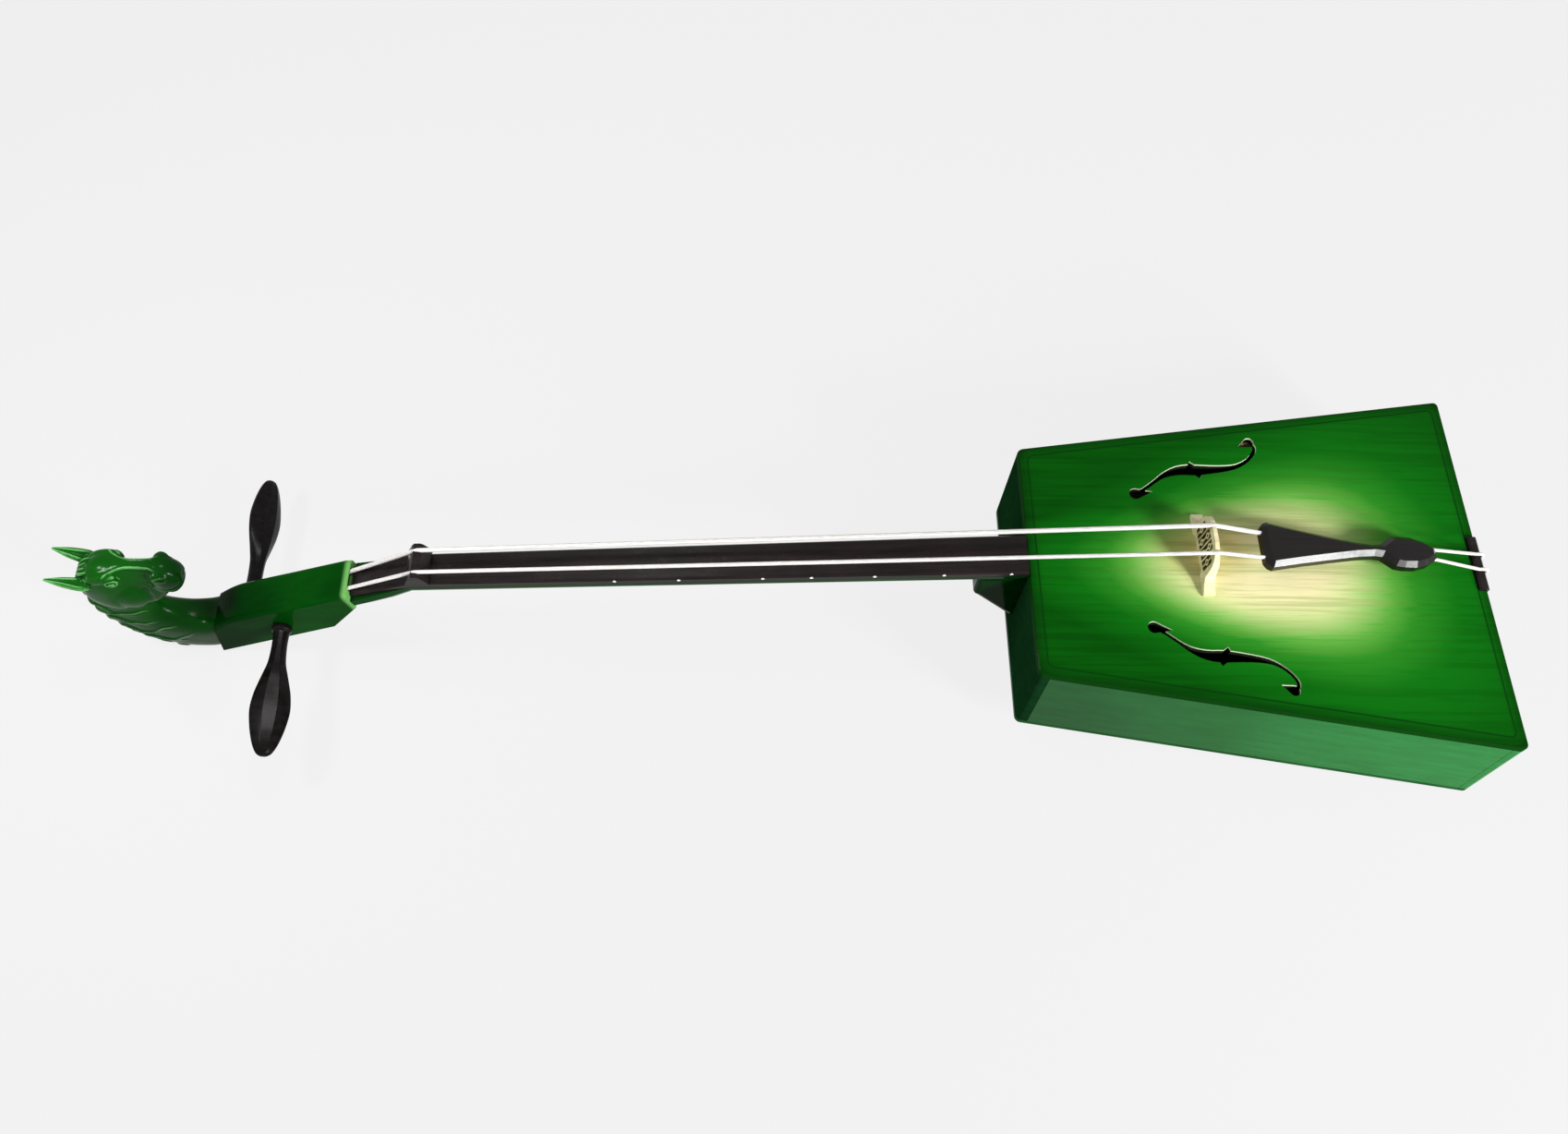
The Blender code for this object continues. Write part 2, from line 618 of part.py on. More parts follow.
def is_flank_edge(edge, face):
    """Tell whether a heel edge runs round one of its flanks, away from the box."""
    start, end = edge.verts[0].co, edge.verts[1].co
    return abs(start.y - end.y) < GAP and not (abs(start.x - face) < GAP and abs(end.x - face) < GAP)


def board_ring(x, bottom, top, width):
    """Return a section of the fingerboard with its upper edges eased."""
    half = width / 2
    eased = half - BOARD_EDGE
    points = [(-half, bottom), (half, bottom), (half, top - BOARD_EDGE), (eased, top),
              (-eased, top), (-half, top - BOARD_EDGE)]
    return [(x, y, z) for y, z in points]


def make_fingerboard(frame):
    """Make the fingerboard, which slopes down past the nut to the pegbox's mouth."""
    foot = ramp_foot()
    ramp_start = -BOARD_TO_NUT - NUT_BASE_LENGTH / 2
    end_width = neck_width(BOARD_TO_NUT)
    rings = [board_ring(-GAP, 0, BOARD_THICKNESS, NECK_WIDTH_BODY),
             board_ring(-BOARD_TO_NUT, 0, BOARD_THICKNESS, end_width),
             board_ring(ramp_start, 0, BOARD_THICKNESS, end_width),
             board_ring(foot.x + GAP, foot.z - RAMP_THICKNESS, foot.z, end_width)]
    board = add_piece("fingerboard", loft(rings), "ebony", frame)
    scale_length = string_scale()
    for number, step in enumerate(DOT_STEPS, 1):
        x = scale_length * (1 - 2 ** (-step / STEPS_IN_OCTAVE)) - BOARD_TO_NUT
        edge = -neck_width(-x) / 2
        centre = (x, edge, BOARD_THICKNESS / 2)
        combine(board, turned([(-DOT_DEPTH, DOT_RADIUS + SLIDE), (DOT_DEPTH, DOT_RADIUS + SLIDE)], "Y",
                              centre, 12), "DIFFERENCE", frame)
        dot = turned([(GAP, DOT_RADIUS), (DOT_DEPTH - GAP, DOT_RADIUS)], "Y", centre, 12)
        add_piece(f"side_dot_{number}", dot, "string", frame)


def string_scale():
    """Return the sounding length of a string, from the nut to the bridge."""
    nut = in_neck(-BOARD_TO_NUT, BOARD_THICKNESS + NUT_HEIGHT)
    bridge = Vector((BRIDGE_PLACE - BODY_HALF, 0, BODY_DEPTH + BRIDGE_HEIGHT))
    return (bridge - nut).length


def string_route(side, radius, peg_place):
    """Return the route of one string's axis, from its peg to its knot."""
    exit_y = side * STRING_GAP_PEGBOX / 2
    mouth = in_pegbox(0, -mouth_string_depth(), exit_y)
    start = in_pegbox(-peg_place, -peg_string_depth(radius), exit_y)
    nut = in_neck(-BOARD_TO_NUT, BOARD_THICKNESS + NUT_HEIGHT)
    nut.y = side * STRING_GAP_NUT / 2
    bridge = Vector((BRIDGE_PLACE - BODY_HALF, side * STRING_GAP_BRIDGE / 2, BODY_DEPTH + BRIDGE_HEIGHT))
    hole_y = side * STRING_GAP_TAILPIECE / 2
    hole = TAILPIECE_FRAME @ Vector((0, hole_y, -string_hole_depth()))
    knot = TAILPIECE_FRAME @ Vector((STRING_POCKET_START + 2 * GAP, hole_y, -string_hole_depth()))
    return round_corners([start, mouth, nut, bridge, hole, knot], STRING_BEND_RADIUS)


def string_hole_depth():
    """Return how far below the tailpiece's top the string holes run."""
    return TAILPIECE_SKIN + STRING_KNOT_RADIUS + GAP


def make_nut(frame):
    """Make the nut, with a groove for each string."""
    low = BOARD_THICKNESS + GAP
    high = BOARD_THICKNESS + NUT_HEIGHT + BASS_STRING_RADIUS / 2
    middle = -BOARD_TO_NUT
    crown = NUT_CROWN_LENGTH / 2
    outline = [(middle + NUT_BASE_LENGTH / 2, low), (middle + NUT_BASE_LENGTH / 2, low + NUT_HEIGHT / 4),
               (middle + crown, high - NUT_HEIGHT / 8), (middle + crown / 2, high),
               (middle - crown / 2, high), (middle - crown, high - NUT_HEIGHT / 5),
               (middle - NUT_BASE_LENGTH / 2, low + NUT_HEIGHT / 4), (middle - NUT_BASE_LENGTH / 2, low)]
    nut = add_piece("nut", prism(outline, -NUT_WIDTH / 2, NUT_WIDTH / 2, "Y"), "ebony", frame)
    cut_string_grooves(nut)


def cut_string_grooves(piece):
    """Cut the strings' paths out of a piece that they rest on or pass through."""
    for side, radius, place in ((1, BASS_STRING_RADIUS, BASS_PEG_PLACE),
                                (-1, TREBLE_STRING_RADIUS, TREBLE_PEG_PLACE)):
        combine(piece, tube(string_route(side, radius, place), radius + GAP), "DIFFERENCE")


def pegbox_outline():
    """Return the side view of the pegbox in its own frame, from the mouth round the front."""
    front = [(0, -MOUTH_LIP_FALL), (-MOUTH_LIP_LENGTH, 0), (-PEGBOX_FRONT_LENGTH, 0)]
    throat = Vector((-PEGBOX_THROAT_LENGTH, -PEGBOX_THROAT_DEPTH))
    bend = Vector((-PEGBOX_FRONT_LENGTH - 0.35 * (PEGBOX_THROAT_LENGTH - PEGBOX_FRONT_LENGTH), 0))
    start = Vector(front[-1])
    steps = 6
    curve = [(1 - t) ** 2 * start + 2 * t * (1 - t) * bend + t * t * throat
             for t in (step / steps for step in range(1, steps + 1))]
    back = [(-PEGBOX_BACK_LENGTH, -PEGBOX_DEPTH), (-PEGBOX_RAMP_LENGTH, -PEGBOX_DEPTH + PEGBOX_BACK_RISE),
            (-PEGBOX_MOUTH_RAKE, -PEGBOX_MOUTH_DEPTH)]
    return front + [tuple(point) for point in curve] + back


def make_pegbox(frame, axes):
    """Make the pegbox: closed in front, open at the back, with a mouth and a bore for each peg."""
    half = PEGBOX_WIDTH / 2
    bm = prism(pegbox_outline(), -half, half, "Y")
    bevel_edges(bm, is_front_flank, PEGBOX_ROUNDING, 3)
    pegbox = add_piece("pegbox", bm, "green", frame)
    inner = half - PEGBOX_WALL
    sill = mouth_string_depth() + BASS_STRING_RADIUS + 2 * GAP
    below = 2 * PEGBOX_DEPTH
    steepest = (peg_string_depth(TREBLE_STRING_RADIUS) - mouth_string_depth()) / TREBLE_PEG_PLACE
    cavity = [(GAP * 10, -MOUTH_LIP), (0, -MOUTH_LIP), (-CAVITY_SLOPE_LENGTH, -PEGBOX_FRONT_WALL),
              (-PEGBOX_FRONT_LENGTH, -PEGBOX_FRONT_WALL),
              (-CAVITY_LENGTH, -PEGBOX_FRONT_WALL - PEGBOX_THROAT_DEPTH),
              (-CAVITY_LENGTH, -below), (-PEGBOX_END_WALL, -below),
              (-PEGBOX_END_WALL, -sill - PEGBOX_END_WALL * steepest), (0, -sill), (GAP * 10, -sill)]
    combine(pegbox, prism(cavity, -inner, inner, "Y"), "DIFFERENCE", frame)
    bore = PEG_SHANK_RADIUS + SLIDE
    for axis in axes.values():
        combine(pegbox, turned([(-inner - PEG_BLIND_DEPTH, bore), (PEGBOX_WIDTH, bore)], "Y"), "DIFFERENCE",
                axis)
    smooth(pegbox)


def is_front_flank(edge):
    """Tell whether a pegbox edge is one of the two long edges of its front."""
    start, end = edge.verts[0].co, edge.verts[1].co
    along = abs(start.y - end.y) < GAP
    return along and min(start.z, end.z) > -PEGBOX_THROAT_DEPTH - GAP and start.x + end.x < -GAP


def peg_section(width, thickness, facet):
    """Return twelve (x, z) points that pass from a circle to a faceted paddle section."""
    flat = [(1, 0.18), (0.78, 0.55), (0.36, 1.0), (-0.36, 1.0), (-0.78, 0.55), (-1, 0.18),
            (-1, -0.18), (-0.78, -0.55), (-0.36, -1.0), (0.36, -1.0), (0.78, -0.55), (1, -0.18)]
    points = []
    for index, (x, z) in enumerate(flat):
        turn = math.tau * (index + 0.5) / len(flat)
        round_x, round_z = math.cos(turn), math.sin(turn)
        points.append((width / 2 * (round_x + (x - round_x) * facet),
                       thickness / 2 * (round_z + (z - round_z) * facet)))
    return points


def add_peg_axis(name, place, heading, turn):
    """Add the empty on a peg's axis, with +Y towards the paddle, and with the paddle turned round it."""
    return add_empty(f"{name}_peg_axis", PEGBOX_FRAME @ Matrix.Translation((-place, 0, -PEG_DEPTH))
                     @ Matrix.Rotation(heading, 4, "Z") @ Matrix.Rotation(turn, 4, "Y"))


def make_peg(name, axis, lean):
    """Make a peg with its shank, collar and paddle; its collar clears the flank that it leans to."""
    half = PEGBOX_WIDTH / 2
    inner = half - PEGBOX_WALL
    shank, collar, neck = 2 * PEG_SHANK_RADIUS, 2 * PEG_COLLAR_RADIUS, 2 * PEG_NECK_RADIUS
    wide, thick = PEG_PADDLE_WIDTH, PEG_PADDLE_THICKNESS
    root = half + GAP + PEG_COLLAR_RADIUS * math.tan(lean)
    blade = PEG_REACH - root
    stations = [(GAP - inner - PEG_BLIND_DEPTH, shank, shank, 0), (root, shank, shank, 0),
                (root, 0.9 * collar, 0.9 * collar, 0), (root + 0.3 * PEG_COLLAR_LENGTH, collar, collar, 0),
                (root + 0.7 * PEG_COLLAR_LENGTH, collar, collar, 0),
                (root + PEG_COLLAR_LENGTH, 1.1 * neck, 1.1 * neck, 0), (root + 0.16 * blade, neck, neck, 0.2),
                (root + 0.29 * blade, 0.46 * wide, 0.92 * thick, 0.7),
                (root + 0.38 * blade, 0.62 * wide, thick, 1), (root + 0.46 * blade, 0.78 * wide, thick, 1),
                (root + 0.55 * blade, 0.93 * wide, thick, 1), (root + 0.66 * blade, wide, thick, 1),
                (root + 0.77 * blade, 0.90 * wide, 0.96 * thick, 1),
                (root + 0.86 * blade, 0.75 * wide, 0.88 * thick, 1),
                (root + 0.93 * blade, 0.58 * wide, 0.74 * thick, 1),
                (root + 0.98 * blade, 0.38 * wide, 0.50 * thick, 1),
                (PEG_REACH, 0.18 * wide, 0.24 * thick, 1)]
    rings = [[(x, y, z) for x, z in peg_section(width, thickness, facet)]
             for y, width, thickness, facet in stations]
    add_piece(f"{name}_peg", loft(rings), "ebony", axis)


def make_winding(name, axis, radius):
    """Make the turns of string on a peg as one turned ring with a groove between turns."""
    inner = PEG_SHANK_RADIUS + GAP
    middle = STRING_GAP_PEGBOX / 2
    start = middle - radius * (2 * WINDING_TURNS - 1)
    profile = [(start - radius, inner), (start - radius, inner + radius)]
    for turn in range(WINDING_TURNS):
        centre = start + 2 * radius * turn
        for angle in (135, 90, 45):
            profile.append((centre + radius * math.cos(math.radians(angle)),
                            inner + radius + radius * math.sin(math.radians(angle))))
    profile += [(middle + radius, inner + radius), (middle + radius, inner)]
    sides = 20
    bm = bmesh.new()
    rings = [[bm.verts.new(point) for point in circle(r, "Y", y, (0, 0, 0), sides)] for y, r in profile]
    for first, second in zip(rings, rings[1:] + rings[:1]):
        for index in range(sides):
            after = (index + 1) % sides
            bm.faces.new((first[index], first[after], second[after], second[index]))
    winding = add_piece(f"{name}_winding", bm, "string", axis)
    smooth(winding)


def make_strings():
    """Make both strings and the knots that hold them under the tailpiece."""
    for name, side, radius, place in (("bass", 1, BASS_STRING_RADIUS, BASS_PEG_PLACE),
                                      ("treble", -1, TREBLE_STRING_RADIUS, TREBLE_PEG_PLACE)):
        string = add_piece(f"{name}_string", tube(string_route(side, radius, place), radius), "string")
        smooth(string)
        centre = TAILPIECE_FRAME @ Vector((STRING_POCKET_START + 3 * GAP + STRING_KNOT_RADIUS,
                                           side * STRING_GAP_TAILPIECE / 2, -string_hole_depth()))
        add_knot(f"{name}_string_knot", centre, STRING_KNOT_RADIUS, "string")


def add_knot(name, centre, radius, finish):
    """Add a small round knot."""
    bm = bmesh.new()
    bmesh.ops.create_icosphere(bm, subdivisions=2, radius=radius, matrix=Matrix.Translation(centre))
    knot = add_piece(name, bm, finish)
    smooth(knot)


def window_half(y, hand, high, ring_heights):
    """Return the outline of one half of a bridge window, which leaves half of each ring on its tie."""
    low, wide, tie = BRIDGE_WINDOW_LOW, BRIDGE_WINDOW_WIDTH / 2, BRIDGE_TIE / 2
    outline = [(tie, low), (wide - tie, low), (wide, low + tie), (wide, high - tie), (wide - tie, high),
               (tie, high)]
    radius = BRIDGE_RING_RADIUS
    start = math.asin(tie / radius)
    steps = 6
    for centre in ring_heights:
        for step in range(steps + 1):
            turn = start + (math.pi - 2 * start) * step / steps
            outline.append((radius * math.sin(turn), centre + radius * math.cos(turn)))
    return [(y + hand * across, height) for across, height in outline]


def make_bridge():
    """Make the bridge, a little to the bass side: an arched plate, pierced by windows that hold rings."""
    half, height = BRIDGE_WIDTH / 2, BRIDGE_HEIGHT + BASS_STRING_RADIUS / 2
    arch = BRIDGE_ARCH_WIDTH / 2
    side = [(half, GAP / height), (half, 0.08), (0.81 * half, 0.16), (0.67 * half, 0.29), (0.65 * half, 0.52),
            (0.61 * half, 0.70), (0.52 * half, 0.84), (0.36 * half, 0.95), (0.18 * half, 1.0)]
    side = [(y, z * height) for y, z in side]
    outline = side + [(-y, z) for y, z in reversed(side)]
    outline += [(-arch, GAP), (-0.8 * arch, BRIDGE_ARCH_HEIGHT), (0.8 * arch, BRIDGE_ARCH_HEIGHT),
                (arch, GAP)]
    bm = prism(outline, 0, 1, "X")
    for vert in bm.verts:
        share = vert.co.z / height
        thickness = BRIDGE_FOOT_THICKNESS + (BRIDGE_CROWN_THICKNESS - BRIDGE_FOOT_THICKNESS) * share
        vert.co.x = (vert.co.x - 0.5) * thickness
    place = (BRIDGE_PLACE - BODY_HALF, BRIDGE_OFFSET, BODY_DEPTH)
    origin = add_empty("bridge_place", Matrix.Translation(place))
    bridge = add_piece("bridge", bm, "cream", origin)
    reach = BRIDGE_FOOT_THICKNESS
    for number, rings in enumerate(BRIDGE_WINDOW_RINGS):
        step = number - (len(BRIDGE_WINDOW_RINGS) - 1) / 2
        y = step * BRIDGE_WINDOW_PITCH
        high = BRIDGE_WINDOW_HIGH - BRIDGE_WINDOW_FALL * (abs(step) > 1)
        pitch = (high - BRIDGE_WINDOW_LOW) / rings
        ring_heights = [high - (ring + 0.5) * pitch for ring in range(rings)]
        for hand in (1, -1):
            combine(bridge, prism(window_half(y, hand, high, ring_heights), -reach, reach, "X"), "DIFFERENCE",
                    origin)
        for centre in ring_heights:
            combine(bridge, turned([(-reach, BRIDGE_RING_HOLE), (reach, BRIDGE_RING_HOLE)], "X",
                                   (0, y, centre), 12), "DIFFERENCE", origin)
    cut_string_grooves(bridge)


def tailpiece_outline():
    """Return the plan of the tailpiece in its own frame, fan first."""
    fan, waist, shoulder = TAILPIECE_WIDTH / 2, TAILPIECE_WAIST / 2, TAILPIECE_SHOULDER / 2
    length = TAILPIECE_LENGTH
    side = [(0.002, fan - 0.0015), (0.005, fan), (0.20 * length, 0.76 * fan), (0.38 * length, 0.52 * fan),
            (0.54 * length, 1.30 * waist), (0.635 * length, waist), (0.68 * length, 1.1 * waist),
            (0.715 * length, 0.66 * shoulder), (0.75 * length, 0.93 * shoulder), (0.80 * length, shoulder),
            (0.87 * length, 0.97 * shoulder), (0.94 * length, 0.74 * shoulder),
            (0.985 * length, 0.42 * shoulder), (length, 0.30 * shoulder)]
    return [(0, fan - 0.0045)] + side + [(x, -y) for x, y in reversed(side)] + [(0, -fan + 0.0045)]


def make_tailpiece(frame):
    """Make the tailpiece, with holes and pockets for the strings and for the cord."""
    bm = prism(tailpiece_outline(), -TAILPIECE_THICKNESS, 0)
    bevel_edges(bm, lambda edge: at_level(edge, 0), TAILPIECE_BEVEL, 1)
    tailpiece = add_piece("tailpiece", bm, "ebony", frame)
    low = -2 * TAILPIECE_THICKNESS
    string_side = STRING_GAP_TAILPIECE / 2
    reach = string_side + STRING_KNOT_RADIUS + 2 * GAP
    end = TAILPIECE_LENGTH - CORD_POCKET_START
    cord_reach = CORD_GAP_TAILPIECE / 2 + CORD_KNOT_RADIUS + 2 * GAP
    combine(tailpiece, box((STRING_POCKET_START, -reach, low),
                           (STRING_POCKET_START + STRING_POCKET_LENGTH, reach, -TAILPIECE_SKIN)),
            "DIFFERENCE", frame)
    combine(tailpiece, box((end - CORD_POCKET_LENGTH, -cord_reach, low),
                           (end, cord_reach, CORD_KNOT_RADIUS + GAP - cord_depth())), "DIFFERENCE", frame)
    for side, radius in ((1, BASS_STRING_RADIUS), (-1, TREBLE_STRING_RADIUS)):
        hole, cord_hole = radius + GAP, CORD_RADIUS + GAP
        combine(tailpiece, turned([(-hole, hole), (STRING_POCKET_START + hole, hole)], "X",
                                  (0, side * string_side, -string_hole_depth()), 12), "DIFFERENCE", frame)
        combine(tailpiece, turned([(end - hole, cord_hole), (TAILPIECE_LENGTH + hole, cord_hole)], "X",
                                  (0, side * CORD_GAP_TAILPIECE / 2, -cord_depth()), 12), "DIFFERENCE", frame)


def cord_depth():
    """Return how far below the tailpiece's top the tail cord runs."""
    return TAILPIECE_THICKNESS / 2


def saddle_ease():
    """Return the size of the chamfers on the saddle's upper edges."""
    return SADDLE_RISE / 2


def cord_route():
    """Return the route of the tail cord, from one knot round the end pin to the other."""
    end = TAILPIECE_LENGTH - CORD_POCKET_START
    half = CORD_GAP_TAILPIECE / 2
    start = TAILPIECE_FRAME @ Vector((end - 2 * GAP, half, -cord_depth()))
    tip = TAILPIECE_FRAME @ Vector((TAILPIECE_LENGTH, half, -cord_depth()))
    spread = CORD_GAP_SADDLE / 2
    over = BODY_DEPTH + SADDLE_RISE + GAP + CORD_RADIUS
    outside = BODY_HALF + SADDLE_OVERHANG + GAP + CORD_RADIUS
    wall = BODY_HALF + GAP + CORD_RADIUS + SLIDE
    turn_radius = PIN_NECK_RADIUS + GAP + CORD_RADIUS
    mitre = (CORD_RADIUS + GAP) * math.tan(math.pi / 8)
    ease = saddle_ease()
    strand = round_corners([start, tip, Vector((BODY_HALF - SADDLE_LENGTH + ease, spread, over)),
                            Vector((BODY_HALF + SADDLE_OVERHANG - ease + mitre, spread, over)),
                            Vector((outside, spread, BODY_DEPTH + SADDLE_RISE - ease + mitre)),
                            Vector((outside, spread, BODY_DEPTH - SOUND_BOARD_THICKNESS)),
                            Vector((wall, turn_radius, PIN_HEIGHT))], CORD_RADIUS * 2)
    steps = 8
    under = [Vector((wall, turn_radius * math.cos(math.pi * n / steps),
                     PIN_HEIGHT - turn_radius * math.sin(math.pi * n / steps))) for n in range(1, steps)]
    return strand + under + [Vector((point.x, -point.y, point.z)) for point in reversed(strand)]


def make_tail_gear():
    """Make the saddle, the end pin, the tail cord and its two knots."""
    low = BODY_DEPTH - SOUND_BOARD_THICKNESS
    high = BODY_DEPTH + SADDLE_RISE
    outer, inner = BODY_HALF + SADDLE_OVERHANG, BODY_HALF - SADDLE_LENGTH
    ease = saddle_ease()
    outline = [(inner, low), (outer, low), (outer, high - ease), (outer - ease, high), (inner + ease, high),
               (inner, high - ease)]
    add_piece("saddle", prism(outline, -SADDLE_WIDTH / 2, SADDLE_WIDTH / 2, "Y"), "ebony")
    depth = RIB_THICKNESS + TAIL_BLOCK_LENGTH
    head = GAP + PIN_NECK_LENGTH
    profile = [(-depth, 0.85 * PIN_SHANK_RADIUS), (0, PIN_SHANK_RADIUS), (GAP, PIN_NECK_RADIUS),
               (head, PIN_NECK_RADIUS), (head + 0.17 * PIN_HEAD_LENGTH, PIN_HEAD_RADIUS),
               (head + 0.6 * PIN_HEAD_LENGTH, PIN_HEAD_RADIUS),
               (head + 0.9 * PIN_HEAD_LENGTH, 0.75 * PIN_HEAD_RADIUS),
               (head + PIN_HEAD_LENGTH, 0.35 * PIN_HEAD_RADIUS)]
    pin = add_piece("end_pin", turned(profile, "X", (BODY_HALF, 0, PIN_HEIGHT)), "ebony")
    smooth(pin)
    cord = add_piece("tail_cord", tube(cord_route(), CORD_RADIUS), "string")
    smooth(cord)
    start = TAILPIECE_LENGTH - CORD_POCKET_START - 3 * GAP - CORD_KNOT_RADIUS
    for name, side in (("bass", 1), ("treble", -1)):
        centre = TAILPIECE_FRAME @ Vector((start, side * CORD_GAP_TAILPIECE / 2, -cord_depth()))
        add_knot(f"tail_cord_{name}_knot", centre, CORD_KNOT_RADIUS, "string")


def head_ring(front, back, width, taper, fullness, steps=16):
    """Return a section of the carving between two points of its side view, narrower at its back."""
    front, back = Vector((front[0], 0, front[1])), Vector((back[0], 0, back[1]))
    middle, reach = (front + back) / 2, (front - back) / 2
    ring = []
    for step in range(steps):
        turn = math.tau * (step + 0.5) / steps
        along = math.copysign(abs(math.cos(turn)) ** (2 / fullness), math.cos(turn))
        across = math.copysign(abs(math.sin(turn)) ** (2 / fullness), math.sin(turn))
        half = width / 2 * (taper + (1 - taper) * (1 + along) / 2)
        point = middle + reach * along
        ring.append((point.x, across * half, point.z))
    return ring


def joint_ring():
    """Return the end of the horse's neck, flush with the pegbox in front and stepped at its back."""
    along = (JOINT_BACK - JOINT_FRONT).normalized()
    clear = Vector((along.z, 0, -along.x)) * GAP
    to_head = HEAD_FRAME.inverted() @ PEGBOX_FRAME
    front = to_head @ (JOINT_FRONT + clear)
    back = to_head @ (JOINT_BACK - along * HEAD_STEP + clear)
    return head_ring((front.x, front.z), (back.x, back.z), PEGBOX_WIDTH, HEAD_JOINT_TAPER, 5)


def make_horse_head(frame):
    """Make the carved horse's neck and head, with its two ears.

    Each station is the front x and z, the back x and z and the width, as shares of the length,
    then the taper towards the back and the fullness of the section.
    """
    neck_stations = [(-0.090, 0.225, -0.145, -0.172, 0.306, 0.86, 4.0),
                     (-0.205, 0.255, -0.365, -0.203, 0.290, 0.88, 3.0),
                     (-0.325, 0.335, -0.560, -0.125, 0.262, 0.95, 2.4),
                     (-0.380, 0.430, -0.710, 0.020, 0.250, 1.0, 2.0),
                     (-0.410, 0.570, -0.805, 0.200, 0.250, 1.0, 2.0),
                     (-0.450, 0.710, -0.850, 0.410, 0.230, 1.0, 2.0),
                     (-0.520, 0.830, -0.830, 0.630, 0.190, 1.0, 2.0)]
    head_stations = [(-0.770, 0.850, -0.820, 0.600, 0.180, 1.0, 2.0),
                     (-0.700, 0.945, -0.750, 0.490, 0.240, 1.05, 2.3),
                     (-0.600, 0.980, -0.640, 0.440, 0.270, 1.1, 2.6),
                     (-0.500, 0.985, -0.530, 0.430, 0.230, 1.3, 2.8),
                     (-0.400, 0.980, -0.390, 0.480, 0.130, 1.9, 3.0),
                     (-0.290, 0.980, -0.270, 0.570, 0.110, 2.0, 2.8),
                     (-0.225, 0.980, -0.205, 0.650, 0.190, 1.1, 2.4),
                     (-0.160, 0.990, -0.150, 0.670, 0.225, 0.95, 2.4),
                     (-0.100, 0.970, -0.095, 0.700, 0.200, 0.95, 2.2),
                     (-0.055, 0.890, -0.060, 0.770, 0.120, 1.0, 2.0)]
    size = HEAD_LENGTH
    neck_rings, head_rings = ([head_ring((size * a, size * b), (size * c, size * d), size * width,
                                         taper, fullness)
                               for a, b, c, d, width, taper, fullness in stations]
                              for stations in (neck_stations, head_stations))
    head = add_piece("horse_head", loft([joint_ring(), *neck_rings]), "green", frame)
    combine(head, loft(head_rings), "UNION", frame)
    for side in (1, -1):
        root, tip = Vector((-0.640, side * 0.085, 0.800)), Vector((-0.948, side * 0.124, 0.948))
        combine(head, ear(size * root, size * tip), "UNION", frame)
    smooth(head, math.radians(40))


def ear(root, tip):
    """Return a leaf-shaped ear between its root and its tip."""
    stations = [(0.0, 0.042), (0.25, 0.052), (0.55, 0.046), (0.8, 0.028), (1.0, 0.005)]
    axis = (tip - root).normalized()
    side = axis.cross(Vector((0, 1, 0))).normalized()
    other = axis.cross(side)
    rings = []
    for share, radius in stations:
        centre = root.lerp(tip, share)
        rings.append([centre + HEAD_LENGTH * radius * (math.cos(turn) * side + 0.55 * math.sin(turn) * other)
                      for turn in (math.tau * n / 10 for n in range(10))])
    return loft(rings)


def main():
    """Build the whole fiddle."""
    clear_scene()
    neck_frame = add_empty("neck_frame", NECK_FRAME)
    pegbox_frame = add_empty("pegbox_frame", PEGBOX_FRAME)
    tailpiece_frame = add_empty("tailpiece_frame", TAILPIECE_FRAME)
    head_frame = add_empty("head_frame", HEAD_FRAME)
    make_sound_box()
    make_neck()
    make_fingerboard(neck_frame)
    make_nut(neck_frame)
    axes = {"bass": add_peg_axis("bass", BASS_PEG_PLACE, BASS_PEG_LEAN, BASS_PEG_TURN),
            "treble": add_peg_axis("treble", TREBLE_PEG_PLACE, math.pi + TREBLE_PEG_LEAN, TREBLE_PEG_TURN)}
    make_pegbox(pegbox_frame, axes)
    make_horse_head(head_frame)
    for name, radius, lean in (("bass", BASS_STRING_RADIUS, BASS_PEG_LEAN),
                               ("treble", TREBLE_STRING_RADIUS, TREBLE_PEG_LEAN)):
        make_peg(name, axes[name], lean)
        make_winding(name, axes[name], radius)
    make_bridge()
    make_tailpiece(tailpiece_frame)
    make_tail_gear()
    make_strings()


main()
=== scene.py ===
"""The looks of a green lacquered two-string fiddle with a carved horse's head.

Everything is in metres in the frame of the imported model: +X from the head to the tail, +Y
towards the thick bass string and +Z out of the sound board.
"""

import json
import logging
import math
from dataclasses import dataclass, field
from enum import Enum
from typing import Any, Iterable, Sequence

import bmesh
import bpy
from mathutils import Matrix, Vector


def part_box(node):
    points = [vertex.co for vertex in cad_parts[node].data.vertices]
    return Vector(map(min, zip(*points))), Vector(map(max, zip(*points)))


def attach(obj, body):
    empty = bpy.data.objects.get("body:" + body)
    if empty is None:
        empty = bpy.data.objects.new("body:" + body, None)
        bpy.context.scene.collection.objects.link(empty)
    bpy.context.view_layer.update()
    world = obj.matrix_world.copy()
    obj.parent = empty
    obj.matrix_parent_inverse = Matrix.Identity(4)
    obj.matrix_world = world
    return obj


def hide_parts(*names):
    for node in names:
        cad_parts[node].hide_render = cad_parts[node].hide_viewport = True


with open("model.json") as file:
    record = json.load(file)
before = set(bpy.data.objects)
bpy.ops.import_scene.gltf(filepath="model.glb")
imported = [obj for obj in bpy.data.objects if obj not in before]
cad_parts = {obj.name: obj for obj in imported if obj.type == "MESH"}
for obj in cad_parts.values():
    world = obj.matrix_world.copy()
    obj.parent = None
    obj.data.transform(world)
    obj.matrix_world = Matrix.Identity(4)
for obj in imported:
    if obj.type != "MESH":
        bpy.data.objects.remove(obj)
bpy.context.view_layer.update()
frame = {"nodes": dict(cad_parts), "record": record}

log = logging.getLogger("fiddle")

